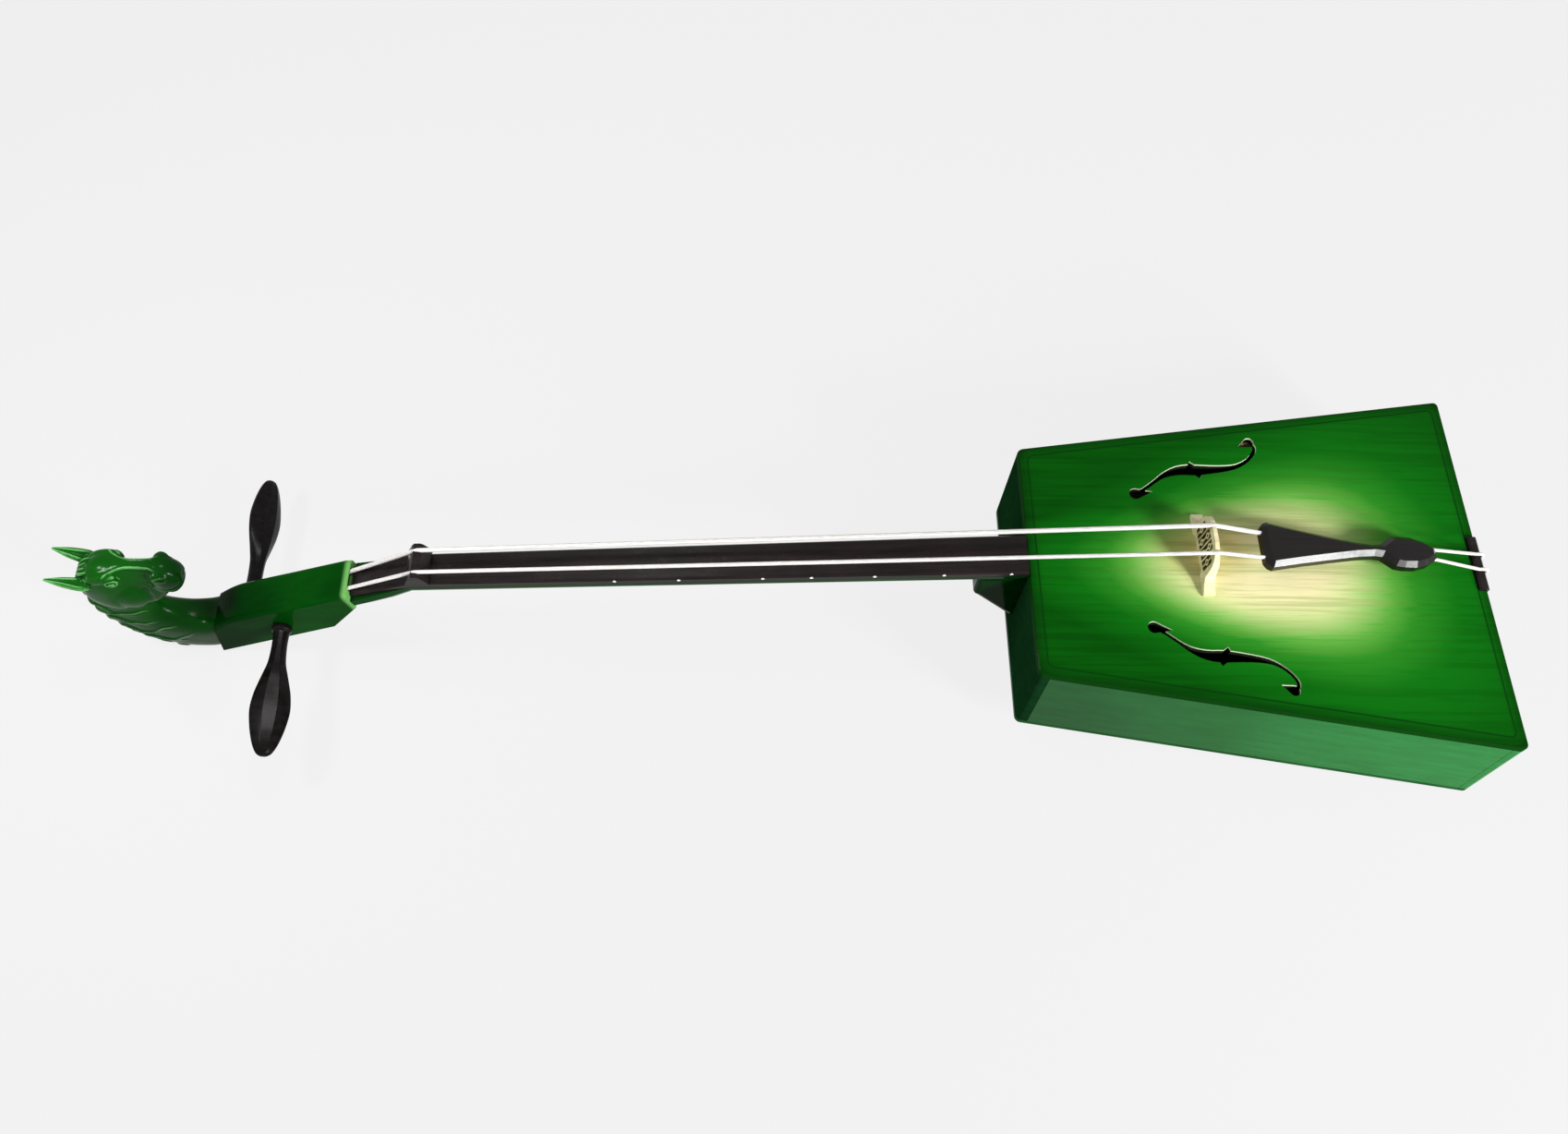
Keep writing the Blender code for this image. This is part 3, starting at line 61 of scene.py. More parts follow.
Colour = tuple[float, float, float]
Point = Sequence[float]
Socket = bpy.types.NodeSocket

PHOTO_WIDTH = 1698
MILLIMETRE = 0.001

INNER_NODES = ("lining", "block", "bass_bar", "sound_post")


class Body(Enum):
    """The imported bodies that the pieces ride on."""

    FIDDLE = "fiddle"
    BASS_TUNER = "bass_tuner"
    TREBLE_TUNER = "treble_tuner"


class Slot(Enum):
    """The material slots that the record names."""

    GREEN = "green_lacquer"
    SUNBURST = "sunburst_lacquer"
    BLACK = "black_wood"
    STRING = "white_string"
    CORD = "white_cord"
    PEARL = "pearl_dot"
    PALE = "pale_wood"
    INNER = "inner_wood"


class Graph:
    """A node tree with short calls to add nodes and to wire them."""

    def __init__(self, tree: bpy.types.NodeTree) -> None:
        """Keep the tree that the nodes are added to."""
        self.tree = tree

    def node(self, kind: str, **settings: Any) -> bpy.types.Node:
        """Add a node.

        Args:
            kind: The node's type without its ShaderNode prefix.
            settings: Properties of the node to set.

        Returns:
            The new node.
        """
        node = self.tree.nodes.new("ShaderNode" + kind)
        for name, value in settings.items():
            setattr(node, name, value)
        return node

    def wire(self, source: Any, target: Socket) -> None:
        """Link a socket to another, or set a plain value on it."""
        if isinstance(source, bpy.types.NodeSocket):
            self.tree.links.new(source, target)
        else:
            target.default_value = source

    def math(self, operation: str, first: Any, second: Any = 0.0, third: Any = 0.0,
             clamp: bool = False) -> Socket:
        """Add a Math node and return its output."""
        node = self.node("Math", operation=operation, use_clamp=clamp)
        for value, socket in zip((first, second, third), node.inputs):
            self.wire(value, socket)
        return node.outputs[0]

    def mix(self, share: Any, first: Any, second: Any, blend: str = "MIX") -> Socket:
        """Mix two colours.

        Args:
            share: How much of the second colour to take, from 0 to 1.
            first: The colour or socket taken at 0.
            second: The colour or socket taken at 1.
            blend: The blend mode.

        Returns:
            The mixed colour.
        """
        node = self.node("Mix", data_type="RGBA", blend_type=blend)
        self.wire(share, node.inputs["Factor"])
        for value, socket in ((first, node.inputs[6]), (second, node.inputs[7])):
            self.wire((*value, 1) if isinstance(value, tuple) else value, socket)
        return node.outputs[2]

    def span(self, value: Socket, low: float, high: float, start: float = 0.0, end: float = 1.0,
             smooth: bool = True) -> Socket:
        """Map a value from one span to another, clamped, and smooth at its ends where asked."""
        kind = "SMOOTHSTEP" if smooth else "LINEAR"
        node = self.node("MapRange", interpolation_type=kind, clamp=True)
        for number, item in enumerate((value, low, high, start, end)):
            self.wire(item, node.inputs[number])
        return node.outputs[0]

    def noise(self, vector: Any, scale: Any, detail: float = 2.0, roughness: float = 0.5) -> Socket:
        """Add a Noise Texture and return its value."""
        node = self.node("TexNoise")
        self.wire(vector, node.inputs["Vector"])
        self.wire(scale, node.inputs["Scale"])
        node.inputs["Detail"].default_value = detail
        node.inputs["Roughness"].default_value = roughness
        return node.outputs[0]

    def place(self) -> Socket:
        """Return the point's place in the model's frame."""
        return self.node("TexCoord").outputs["Object"]


def new_group(name: str, inputs: dict[str, str], outputs: dict[str, str]) -> tuple[Graph, Any, Any]:
    """Start a shader node group with named sockets.

    Args:
        name: The group's name.
        inputs: The kind of each input socket by its name.
        outputs: The kind of each output socket by its name.

    Returns:
        The group's graph, its input node and its output node.
    """
    tree = bpy.data.node_groups.new(name, "ShaderNodeTree")
    for sockets, way in ((inputs, "INPUT"), (outputs, "OUTPUT")):
        for socket, kind in sockets.items():
            tree.interface.new_socket(name=socket, in_out=way, socket_type="NodeSocket" + kind)
    return Graph(tree), tree.nodes.new("NodeGroupInput"), tree.nodes.new("NodeGroupOutput")


def long_grain_group() -> bpy.types.NodeTree:
    """Build the group for wood fibres that run along X, with darker pores."""
    graph, given, out = new_group("Long grain", {"Scale": "Float", "Stretch": "Float"},
                                  {"Grain": "Float", "Pores": "Float"})
    split = graph.node("SeparateXYZ")
    graph.wire(graph.place(), split.inputs[0])
    along = graph.math("DIVIDE", split.outputs[0], given.outputs["Stretch"])
    join = graph.node("CombineXYZ")
    for value, socket in zip((along, split.outputs[1], split.outputs[2]), join.inputs):
        graph.wire(value, socket)
    grain = graph.noise(join.outputs[0], given.outputs["Scale"], 4.0, 0.6)
    fine = graph.math("MULTIPLY", given.outputs["Scale"], 5.0)
    pores = graph.noise(join.outputs[0], fine, 2.0, 0.7)
    graph.wire(grain, out.inputs["Grain"])
    graph.wire(graph.span(pores, 0.56, 0.72), out.inputs["Pores"])
    return graph.tree


def mottle_group() -> bpy.types.NodeTree:
    """Build the group that drifts slowly between two colours."""
    graph, given, out = new_group("Mottle", {"First": "Color", "Second": "Color", "Scale": "Float"},
                                  {"Colour": "Color", "Mask": "Float"})
    patches = graph.noise(graph.place(), given.outputs["Scale"], 3.0)
    mask = graph.span(patches, 0.35, 0.65)
    graph.wire(graph.mix(mask, given.outputs["First"], given.outputs["Second"]), out.inputs["Colour"])
    graph.wire(mask, out.inputs["Mask"])
    return graph.tree


def handling_group() -> bpy.types.NodeTree:
    """Build the group of faint smears that handling leaves on a gloss finish."""
    graph, given, out = new_group("Handling", {"Roughness": "Float", "Amount": "Float"},
                                  {"Roughness": "Float"})
    smear = graph.noise(graph.place(), 38.0, 5.0, 0.65)
    marks = graph.span(smear, 0.48, 0.75)
    added = graph.math("MULTIPLY", marks, given.outputs["Amount"])
    graph.wire(graph.math("ADD", given.outputs["Roughness"], added), out.inputs["Roughness"])
    return graph.tree


@dataclass
class Workshop:
    """The shader groups that the finishes share."""

    grain: bpy.types.NodeTree = field(default_factory=long_grain_group)
    mottle: bpy.types.NodeTree = field(default_factory=mottle_group)
    handling: bpy.types.NodeTree = field(default_factory=handling_group)

    def use(self, graph: Graph, tree: bpy.types.NodeTree, **values: Any) -> bpy.types.Node:
        """Place a group in a material and set or wire its inputs by name."""
        node = graph.node("Group")
        node.node_tree = tree
        for name, value in values.items():
            graph.wire((*value, 1) if isinstance(value, tuple) else value, node.inputs[name])
        return node


def start_material(name: str) -> tuple[bpy.types.Material, Graph, bpy.types.Node]:
    """Start a material.

    Args:
        name: The material's name.

    Returns:
        The material, its graph and its Principled shader.
    """
    material = bpy.data.materials.new(name)
    material.use_nodes = True
    shader = material.node_tree.nodes["Principled BSDF"]
    return material, Graph(material.node_tree), shader


def bump(graph: Graph, shader: bpy.types.Node, height: Socket, strength: float, depth: float) -> None:
    """Feed a height into the shader's normal through a Bump node."""
    node = graph.node("Bump")
    node.inputs["Strength"].default_value = strength
    node.inputs["Distance"].default_value = depth
    graph.wire(height, node.inputs["Height"])
    graph.wire(node.outputs[0], shader.inputs["Normal"])


@dataclass(frozen=True)
class GreenLacquer:
    """Thick gloss lacquer, green all through, over close-grained wood.

    The shade is painted shade: where along X the colour is darkest, where it ends and how strong it is.
    The lip is a normal's x and z and the distances along it at which a painted highlight begins and is
    full. Sharp convex edges are paler: partly wear, partly a painted highlight.
    """

    name: str
    first: Colour
    second: Colour
    worn_and_sheen: Colour = (0.15, 0.46, 0.14)
    wear_and_sheen: float = 0.0
    gloss: float = 0.09
    specular: float = 0.10
    ripple: float = 0.10
    # The colour of the painted shade.
    deep: Colour = (0.0004, 0.010, 0.001)
    shade: tuple[float, float, float] = (-1.0, 0.0, 0.0)
    lip: tuple[float, ...] = ()
    lip_highlight: Colour = (0.13, 0.36, 0.09)

    def material(self, shop: Workshop) -> bpy.types.Material:
        """Build the material."""
        material, graph, shader = start_material(self.name)
        split = graph.node("SeparateXYZ")
        graph.wire(graph.place(), split.inputs[0])
        drift = shop.use(graph, shop.mottle, First=self.first, Second=self.second, Scale=11.0)
        grain = shop.use(graph, shop.grain, Scale=160.0, Stretch=22.0)
        darker = graph.mix(1.0, drift.outputs["Colour"], (0.80, 0.84, 0.78), "MULTIPLY")
        colour = graph.mix(graph.span(grain.outputs["Grain"], 0.35, 0.7), darker, drift.outputs["Colour"])
        # Painted shade: the colour darkens towards the deep colour at the shade's dark end along X.
        colour = graph.mix(self.along(graph, split.outputs[0], self.shade[2], 0.0), colour, self.deep)
        # Paler on sharp convex edges, faded out at the joint: partly wear, partly a painted highlight along the
        # carved ridges.
        if self.wear_and_sheen:
            pointed = graph.node("NewGeometry").outputs["Pointiness"]
            worn_and_sheen = graph.math("MULTIPLY", graph.span(pointed, 0.508, 0.535, 0.0, self.wear_and_sheen),
                              self.along(graph, split.outputs[0], 0.0, 1.0))
            colour = graph.mix(worn_and_sheen, colour, self.worn_and_sheen)
        # Painted highlight along the pegbox's mouth, paler towards its end.
        if self.lip:
            part = graph.math("MULTIPLY", split.outputs[2], self.lip[1])
            reach = graph.math("MULTIPLY_ADD", split.outputs[0], self.lip[0], part)
            colour = graph.mix(graph.span(reach, *self.lip[2:]), colour, self.lip_highlight)
        graph.wire(colour, shader.inputs["Base Color"])
        smears = shop.use(graph, shop.handling, Roughness=self.gloss, Amount=0.08)
        graph.wire(smears.outputs["Roughness"], shader.inputs["Roughness"])
        shader.inputs["Specular IOR Level"].default_value = self.specular
        bump(graph, shader, graph.noise(graph.place(), 240.0, 2.0), self.ripple, 0.0004)
        return material

    def along(self, graph: Graph, x: Socket, dark: float, plain: float) -> Socket:
        """Return a value that passes from one at the shade's dark end to another at its plain end."""
        start, end = self.shade[0], self.shade[1]
        if start < end:
            return graph.span(x, start, end, dark, plain)
        return graph.span(x, end, start, plain, dark)


@dataclass(frozen=True)
class SunburstLacquer:
    """Clear lacquer over pale wood that is sprayed green towards the edges."""

    name: str
    stops: tuple[tuple[float, Colour], ...]
    deep: Colour
    line: Colour
    # The sound holes' walls: a painted highlight along their top over dark lacquer with painted shade.
    rim_highlight: Colour
    pit_shade: Colour
    top: float
    half_length: float
    half_middle: float
    side_slope: float
    centre: Point = (0.003, -0.0035)
    reach_along: float = 0.080
    reach_across: float = 0.048
    widening: float = 0.18
    squareness: float = 2.3
    # A painted shadow tint beside the bridge: its colour, centre and size.
    painted_shadow_tint: Colour = (0.66, 0.58, 0.30)
    painted_shadow_centre: Point = (-0.036, 0.009)
    painted_shadow_size: Point = (0.048, 0.030)
    raggedness: float = 0.55
    corner: float = 0.011
    inset: float = 0.0068
    line_width: float = 0.0009
    rim_highlight_height: float = 0.0015
    border: float = 0.0021
    specular: float = 0.03

    def edge_distance(self, graph: Graph, x: Socket, y: Socket) -> Socket:
        """Return the distance from the board's edge, round at the corners and level further in."""
        cosine = 1 / math.hypot(1, self.side_slope)
        half = graph.math("MULTIPLY_ADD", x, self.side_slope, self.half_middle)
        side = graph.math("MULTIPLY", graph.math("SUBTRACT", half, graph.math("ABSOLUTE", y)), cosine)
        end = graph.math("SUBTRACT", self.half_length, graph.math("ABSOLUTE", x))
        legs = []
        for distance in (side, end):
            left = graph.math("MAXIMUM", graph.math("SUBTRACT", self.corner, distance), 0.0)
            legs.append(graph.math("POWER", left, 2.0))
        reach = graph.math("SQRT", graph.math("ADD", *legs))
        return graph.math("SUBTRACT", self.corner, reach)

    def burst(self, graph: Graph, x: Socket, y: Socket, streak: Socket) -> Socket:
        """Return the colour of the spray at a place, from the middle of the burst outwards."""
        along = graph.math("DIVIDE", graph.math("SUBTRACT", x, self.centre[0]), self.reach_along)
        half = graph.math("MULTIPLY_ADD", x, self.widening, self.reach_across)
        across = graph.math("DIVIDE", graph.math("SUBTRACT", y, self.centre[1]), half)
        legs = [graph.math("POWER", graph.math("ABSOLUTE", way), self.squareness) for way in (along, across)]
        reach = graph.math("POWER", graph.math("ADD", *legs), 1 / self.squareness)
        # Painted shadow tint: amber where the bridge and the tailpiece cast their shadows.
        aside = graph.math("DIVIDE", graph.math("SUBTRACT", y, self.painted_shadow_centre[1]), self.painted_shadow_size[1])
        away = graph.math("DIVIDE", graph.math("SUBTRACT", x, self.painted_shadow_centre[0]), self.painted_shadow_size[0])
        painted_shadow_tint = graph.span(graph.math("SQRT", graph.math("ADD", graph.math("POWER", aside, 2.0),
                                                         graph.math("POWER", away, 2.0))), 0.4, 1.0, 0.6, 0.0)
        ragged = graph.math("MULTIPLY_ADD", graph.math("SUBTRACT", streak, 0.5), self.raggedness, reach)
        ramp = graph.node("ValToRGB")
        last = self.stops[-1][0]
        while len(ramp.color_ramp.elements) < len(self.stops):
            ramp.color_ramp.elements.new(0.5)
        for element, (place, colour) in zip(ramp.color_ramp.elements, self.stops):
            element.position = place / last
            element.color = (*colour, 1)
        graph.wire(graph.math("DIVIDE", ragged, last), ramp.inputs[0])
        return graph.mix(painted_shadow_tint, ramp.outputs[0], graph.mix(1.0, ramp.outputs[0], self.painted_shadow_tint, "MULTIPLY"))

    def material(self, shop: Workshop) -> bpy.types.Material:
        """Build the material."""
        material, graph, shader = start_material(self.name)
        split = graph.node("SeparateXYZ")
        graph.wire(graph.place(), split.inputs[0])
        x, y, z = split.outputs
        streak = shop.use(graph, shop.grain, Scale=270.0, Stretch=26.0).outputs["Grain"]
        sprayed = self.burst(graph, x, y, streak)
        shadow = graph.mix(1.0, sprayed, (0.60, 0.72, 0.54), "MULTIPLY")
        streaked = graph.mix(graph.span(streak, 0.36, 0.60, 0.9, 0.0), sprayed, shadow)
        distance = self.edge_distance(graph, x, y)
        edge = graph.math("MAXIMUM", graph.span(distance, 0.0, self.corner, 0.65, 0.0),
                          graph.span(distance, 0.4 * self.border, self.border, 0.9, 0.0))
        shaded = graph.mix(edge, streaked, self.deep)
        off = graph.math("ABSOLUTE", graph.math("SUBTRACT", distance, self.inset))
        line = graph.span(off, 0.3 * self.line_width, self.line_width, 0.85, 0.0)
        lined = graph.mix(line, shaded, self.line)
        # The sound holes' walls: dark lacquer with painted shade, and a painted highlight along their top.
        upright = self.upright(graph)
        walls = graph.math("MULTIPLY", upright, graph.math("GREATER_THAN", distance, 0.75 * self.corner))
        near_top = graph.math("GREATER_THAN", z, self.top - self.rim_highlight_height)
        wall_colour = graph.mix(near_top, self.pit_shade, self.rim_highlight)
        graph.wire(graph.mix(walls, lined, wall_colour), shader.inputs["Base Color"])
        smears = shop.use(graph, shop.handling, Roughness=0.14, Amount=0.08)
        graph.wire(graph.math("MAXIMUM", smears.outputs["Roughness"], graph.math("MULTIPLY", upright, 0.9)),
                   shader.inputs["Roughness"])
        shader.inputs["Specular IOR Level"].default_value = self.specular
        bump(graph, shader, streak, 0.10, 0.0004)
        return material

    @staticmethod
    def upright(graph: Graph) -> Socket:
        """Return a mask of the board's upright faces: its edge and the sound holes' walls."""
        facing = graph.node("SeparateXYZ")
        graph.wire(graph.node("NewGeometry").outputs["True Normal"], facing.inputs[0])
        return graph.math("LESS_THAN", graph.math("ABSOLUTE", facing.outputs[2]), 0.35)


@dataclass(frozen=True)
class PlainWood:
    """Oiled or bare wood whose fibres run along X."""

    name: str
    pale: Colour
    dark: Colour
    roughness: float
    specular: float = 0.3
    scale: float = 220.0
    pierced: Sequence[float] = ()
    # The colour of the painted shade in the pierced openings.
    pit_shade: Colour = (0.19, 0.13, 0.045)

    def material(self, shop: Workshop) -> bpy.types.Material:
        """Build the material."""
        material, graph, shader = start_material(self.name)
        grain = shop.use(graph, shop.grain, Scale=self.scale, Stretch=18.0)
        colour = graph.mix(graph.span(grain.outputs["Grain"], 0.3, 0.7), self.dark, self.pale)
        pores = graph.math("MULTIPLY", grain.outputs["Pores"], 0.45)
        dark = tuple(0.35 * value for value in self.dark)
        colour = graph.mix(pores, colour, dark)
        # The walls of the pierced openings take painted shade.
        if self.pierced:
            colour = graph.mix(self.cut_walls(graph), colour, self.pit_shade)
        graph.wire(colour, shader.inputs["Base Color"])
        smears = shop.use(graph, shop.handling, Roughness=self.roughness, Amount=0.12)
        graph.wire(smears.outputs["Roughness"], shader.inputs["Roughness"])
        shader.inputs["Specular IOR Level"].default_value = self.specular
        bump(graph, shader, grain.outputs["Grain"], 0.22, 0.0003)
        return material

    def cut_walls(self, graph: Graph) -> Socket:
        """Return a mask of the walls that are cut along X in the pierced field, which falls off to its sides."""
        middle, half, low, high = self.pierced
        facing, spot = graph.node("SeparateXYZ"), graph.node("SeparateXYZ")
        graph.wire(graph.node("NewGeometry").outputs["True Normal"], facing.inputs[0])
        graph.wire(graph.place(), spot.inputs[0])
        wall = graph.math("LESS_THAN", graph.math("ABSOLUTE", facing.outputs[0]), 0.5)
        aside = graph.math("ABSOLUTE", graph.math("SUBTRACT", spot.outputs[1], middle))
        wall = graph.math("MULTIPLY", wall, graph.math("LESS_THAN", aside, half))
        wall = graph.math("MULTIPLY", wall, graph.math("GREATER_THAN", spot.outputs[2], low))
        fall = graph.math("MULTIPLY", graph.math("MAXIMUM", graph.math("SUBTRACT", aside, half / 2), 0.0), 0.6)
        return graph.math("MULTIPLY", wall, graph.math("LESS_THAN", graph.math("ADD", spot.outputs[2], fall), high))


@dataclass(frozen=True)
class Filament:
    """A bundle of fine white filaments that lie along X."""

    name: str
    pale: Colour
    shade: Colour
    lay: float = 60.0
    twist: float = 0.0

    def material(self, shop: Workshop) -> bpy.types.Material:
        """Build the material."""
        material, graph, shader = start_material(self.name)
        grain = shop.use(graph, shop.grain, Scale=1900.0, Stretch=self.lay)
        fibres = graph.span(grain.outputs["Grain"], 0.35, 0.65)
        graph.wire(graph.mix(fibres, self.shade, self.pale), shader.inputs["Base Color"])
        graph.wire(graph.span(fibres, 0.0, 1.0, 0.52, 0.36), shader.inputs["Roughness"])
        shader.inputs["Sheen Weight"].default_value = 0.15
        bump(graph, shader, fibres, 0.35, 0.0003)
        return material


@dataclass(frozen=True)
class Braid:
    """A white cord of braided strands."""

    name: str
    pale: Colour
    shade: Colour
    pitch: float = 0.0016

    def material(self, shop: Workshop) -> bpy.types.Material:
        """Build the material."""
        material, graph, shader = start_material(self.name)
        split = graph.node("SeparateXYZ")
        graph.wire(graph.place(), split.inputs[0])
        lays = []
        for way in (1.0, -1.0):
            slant = graph.math("MULTIPLY_ADD", split.outputs[1], way, split.outputs[0])
            turn = graph.math("MULTIPLY", slant, math.tau / self.pitch)
            lays.append(graph.math("SINE", turn))
        height = graph.span(graph.math("MAXIMUM", *lays), -0.2, 1.0)
        fibres = shop.use(graph, shop.grain, Scale=2100.0, Stretch=30.0).outputs["Grain"]
        # Darker in the grooves between the strands: painted shade.
        tone = graph.math("MULTIPLY_ADD", graph.math("SUBTRACT", fibres, 0.5), 0.5, height, clamp=True)
        graph.wire(graph.mix(tone, self.shade, self.pale), shader.inputs["Base Color"])
        graph.wire(graph.span(height, 0.0, 1.0, 0.7, 0.5), shader.inputs["Roughness"])
        bump(graph, shader, tone, 0.5, 0.0003)
        return material


@dataclass(frozen=True)
class Pearl:
    """Polished shell that drifts between two pale tones."""

    name: str = "Pearl"
    first: Colour = (0.86, 0.85, 0.80)
    second: Colour = (0.62, 0.68, 0.66)

    def material(self, shop: Workshop) -> bpy.types.Material:
        """Build the material."""
        material, graph, shader = start_material(self.name)
        drift = shop.use(graph, shop.mottle, First=self.first, Second=self.second, Scale=700.0)
        graph.wire(drift.outputs["Colour"], shader.inputs["Base Color"])
        graph.wire(graph.span(drift.outputs["Mask"], 0.0, 1.0, 0.12, 0.25), shader.inputs["Roughness"])
        return material


def dress(piece: bpy.types.Object, material: bpy.types.Material) -> None:
    """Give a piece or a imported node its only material."""
    piece.data.materials.clear()
    piece.data.materials.append(material)


def round_edges(piece: bpy.types.Object, width: float, segments: int = 2, angle: float = 35.0) -> None:
    """Ease a node's sharp edges with a Bevel modifier."""
    bevel = piece.modifiers.new("Eased edges", "BEVEL")
    bevel.width = width
    bevel.segments = segments
    bevel.limit_method = "ANGLE"
    bevel.angle_limit = math.radians(angle)
    weighted = piece.modifiers.new("Flat faces", "WEIGHTED_NORMAL")
    weighted.keep_sharp = True


def new_piece(name: str, bm: bmesh.types.BMesh, material: bpy.types.Material, body: Body,
              nodes: Iterable[str] = (), smooth: bool = True) -> bpy.types.Object:
    """Make a piece from a bmesh, dress it and let it ride.

    Args:
        name: The piece's name.
        bm: Its mesh, freed afterwards.
        material: Its finish.
        body: The body that it rides on.
        nodes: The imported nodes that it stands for.
        smooth: Whether it is shaded smooth, with sharp edges kept.

    Returns:
        The new piece.
    """
    bmesh.ops.recalc_face_normals(bm, faces=bm.faces)
    mesh = bpy.data.meshes.new(name)
    bm.to_mesh(mesh)
    bm.free()
    piece = bpy.data.objects.new(name, mesh)
    bpy.context.scene.collection.objects.link(piece)
    mesh.materials.append(material)
    if smooth:
        mesh.shade_smooth()
        mesh.set_sharp_from_angle(angle=math.radians(38))
    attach(piece, body.value)
    if nodes:
        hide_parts(*nodes)
    log.info("%s: %d faces", name, len(mesh.polygons))
    return piece


def loft(bm: bmesh.types.BMesh, rings: Sequence[Sequence[Point]]) -> None:
    """Skin rings of equal length into a closed body."""
    rows = [[bm.verts.new(point) for point in ring] for ring in rings]
    for first, second in zip(rows, rows[1:]):
        for index in range(len(first)):
            after = (index + 1) % len(first)
            bm.faces.new((first[index], first[after], second[after], second[index]))
    bm.faces.new(rows[0])
    bm.faces.new(rows[-1])


def spread(rows: Sequence[Sequence[float]], steps: int) -> list[list[float]]:
    """Fill in rows of numbers with a Catmull-Rom line."""
    filled = []
    for index in range(len(rows) - 1):
        before, start = rows[max(index - 1, 0)], rows[index]
        end, after = rows[index + 1], rows[min(index + 2, len(rows) - 1)]
        for step in range(steps):
            t = step / steps
            filled.append([0.5 * (2 * b + (c - a) * t + (2 * a - 5 * b + 4 * c - d) * t * t
                                  + (3 * b - a - 3 * c + d) * t ** 3)
                           for a, b, c, d in zip(before, start, end, after)])
    filled.append(list(rows[-1]))
    return filled


def glide(points: Sequence[Point], steps: int) -> list[Vector]:
    """Return a Catmull-Rom line of any dimension through points."""
    return [Vector(row) for row in spread([tuple(point) for point in points], steps)]


def to_segment(point: Vector, start: Vector, end: Vector) -> float:
    """Return the distance from a point to a segment."""
    way = end - start
    share = max(0.0, min(1.0, (point - start).dot(way) / way.length_squared))
    return (point - start - way * share).length


@dataclass
class SoundBox:
    """The box: lacquered boards and ribs, with bare wood inside."""

    width_neck: float = 0.176
    width_tail: float = 0.274
    half_length: float = 0.160
    easing: float = 0.0005

    def sunburst(self) -> SunburstLacquer:
        """Return the sound board's finish, fitted to its plan."""
        stops = ((0.0, (0.86, 0.79, 0.45)), (0.58, (0.85, 0.78, 0.43)), (0.78, (0.66, 0.73, 0.32)),
                 (0.98, (0.32, 0.55, 0.15)), (1.15, (0.11, 0.39, 0.05)), (1.35, (0.026, 0.245, 0.016)),
                 (1.70, (0.004, 0.152, 0.005)), (2.40, (0.0014, 0.086, 0.002)))
        return SunburstLacquer(
            name="Sunburst lacquer", stops=stops, deep=(0.001, 0.030, 0.001), line=(0.001, 0.035, 0.002),
            rim_highlight=(0.62, 0.74, 0.50), pit_shade=(0.012, 0.016, 0.008), top=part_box("sound_board")[1].z,
            half_length=self.half_length, half_middle=(self.width_neck + self.width_tail) / 4,
            side_slope=(self.width_tail - self.width_neck) / (4 * self.half_length))

    def build(self, shop: Workshop, green: bpy.types.Material, end: bpy.types.Material,
              back: bpy.types.Material, inner: bpy.types.Material) -> None:
        """Dress the boards, the ribs and the wood inside."""
        for name, node in frame["nodes"].items():
            if any(word in name for word in INNER_NODES):
                dress(node, inner)
            elif name.endswith("_rib") or name == "back_board":
                # The neck end rib takes a darker copy of the lacquer: painted shade.
                dress(node, {"neck_end_rib": end, "back_board": back}.get(name, green))
                round_edges(node, self.easing)
        dress(frame["nodes"]["sound_board"], self.sunburst().material(shop))
        round_edges(frame["nodes"]["sound_board"], self.easing)


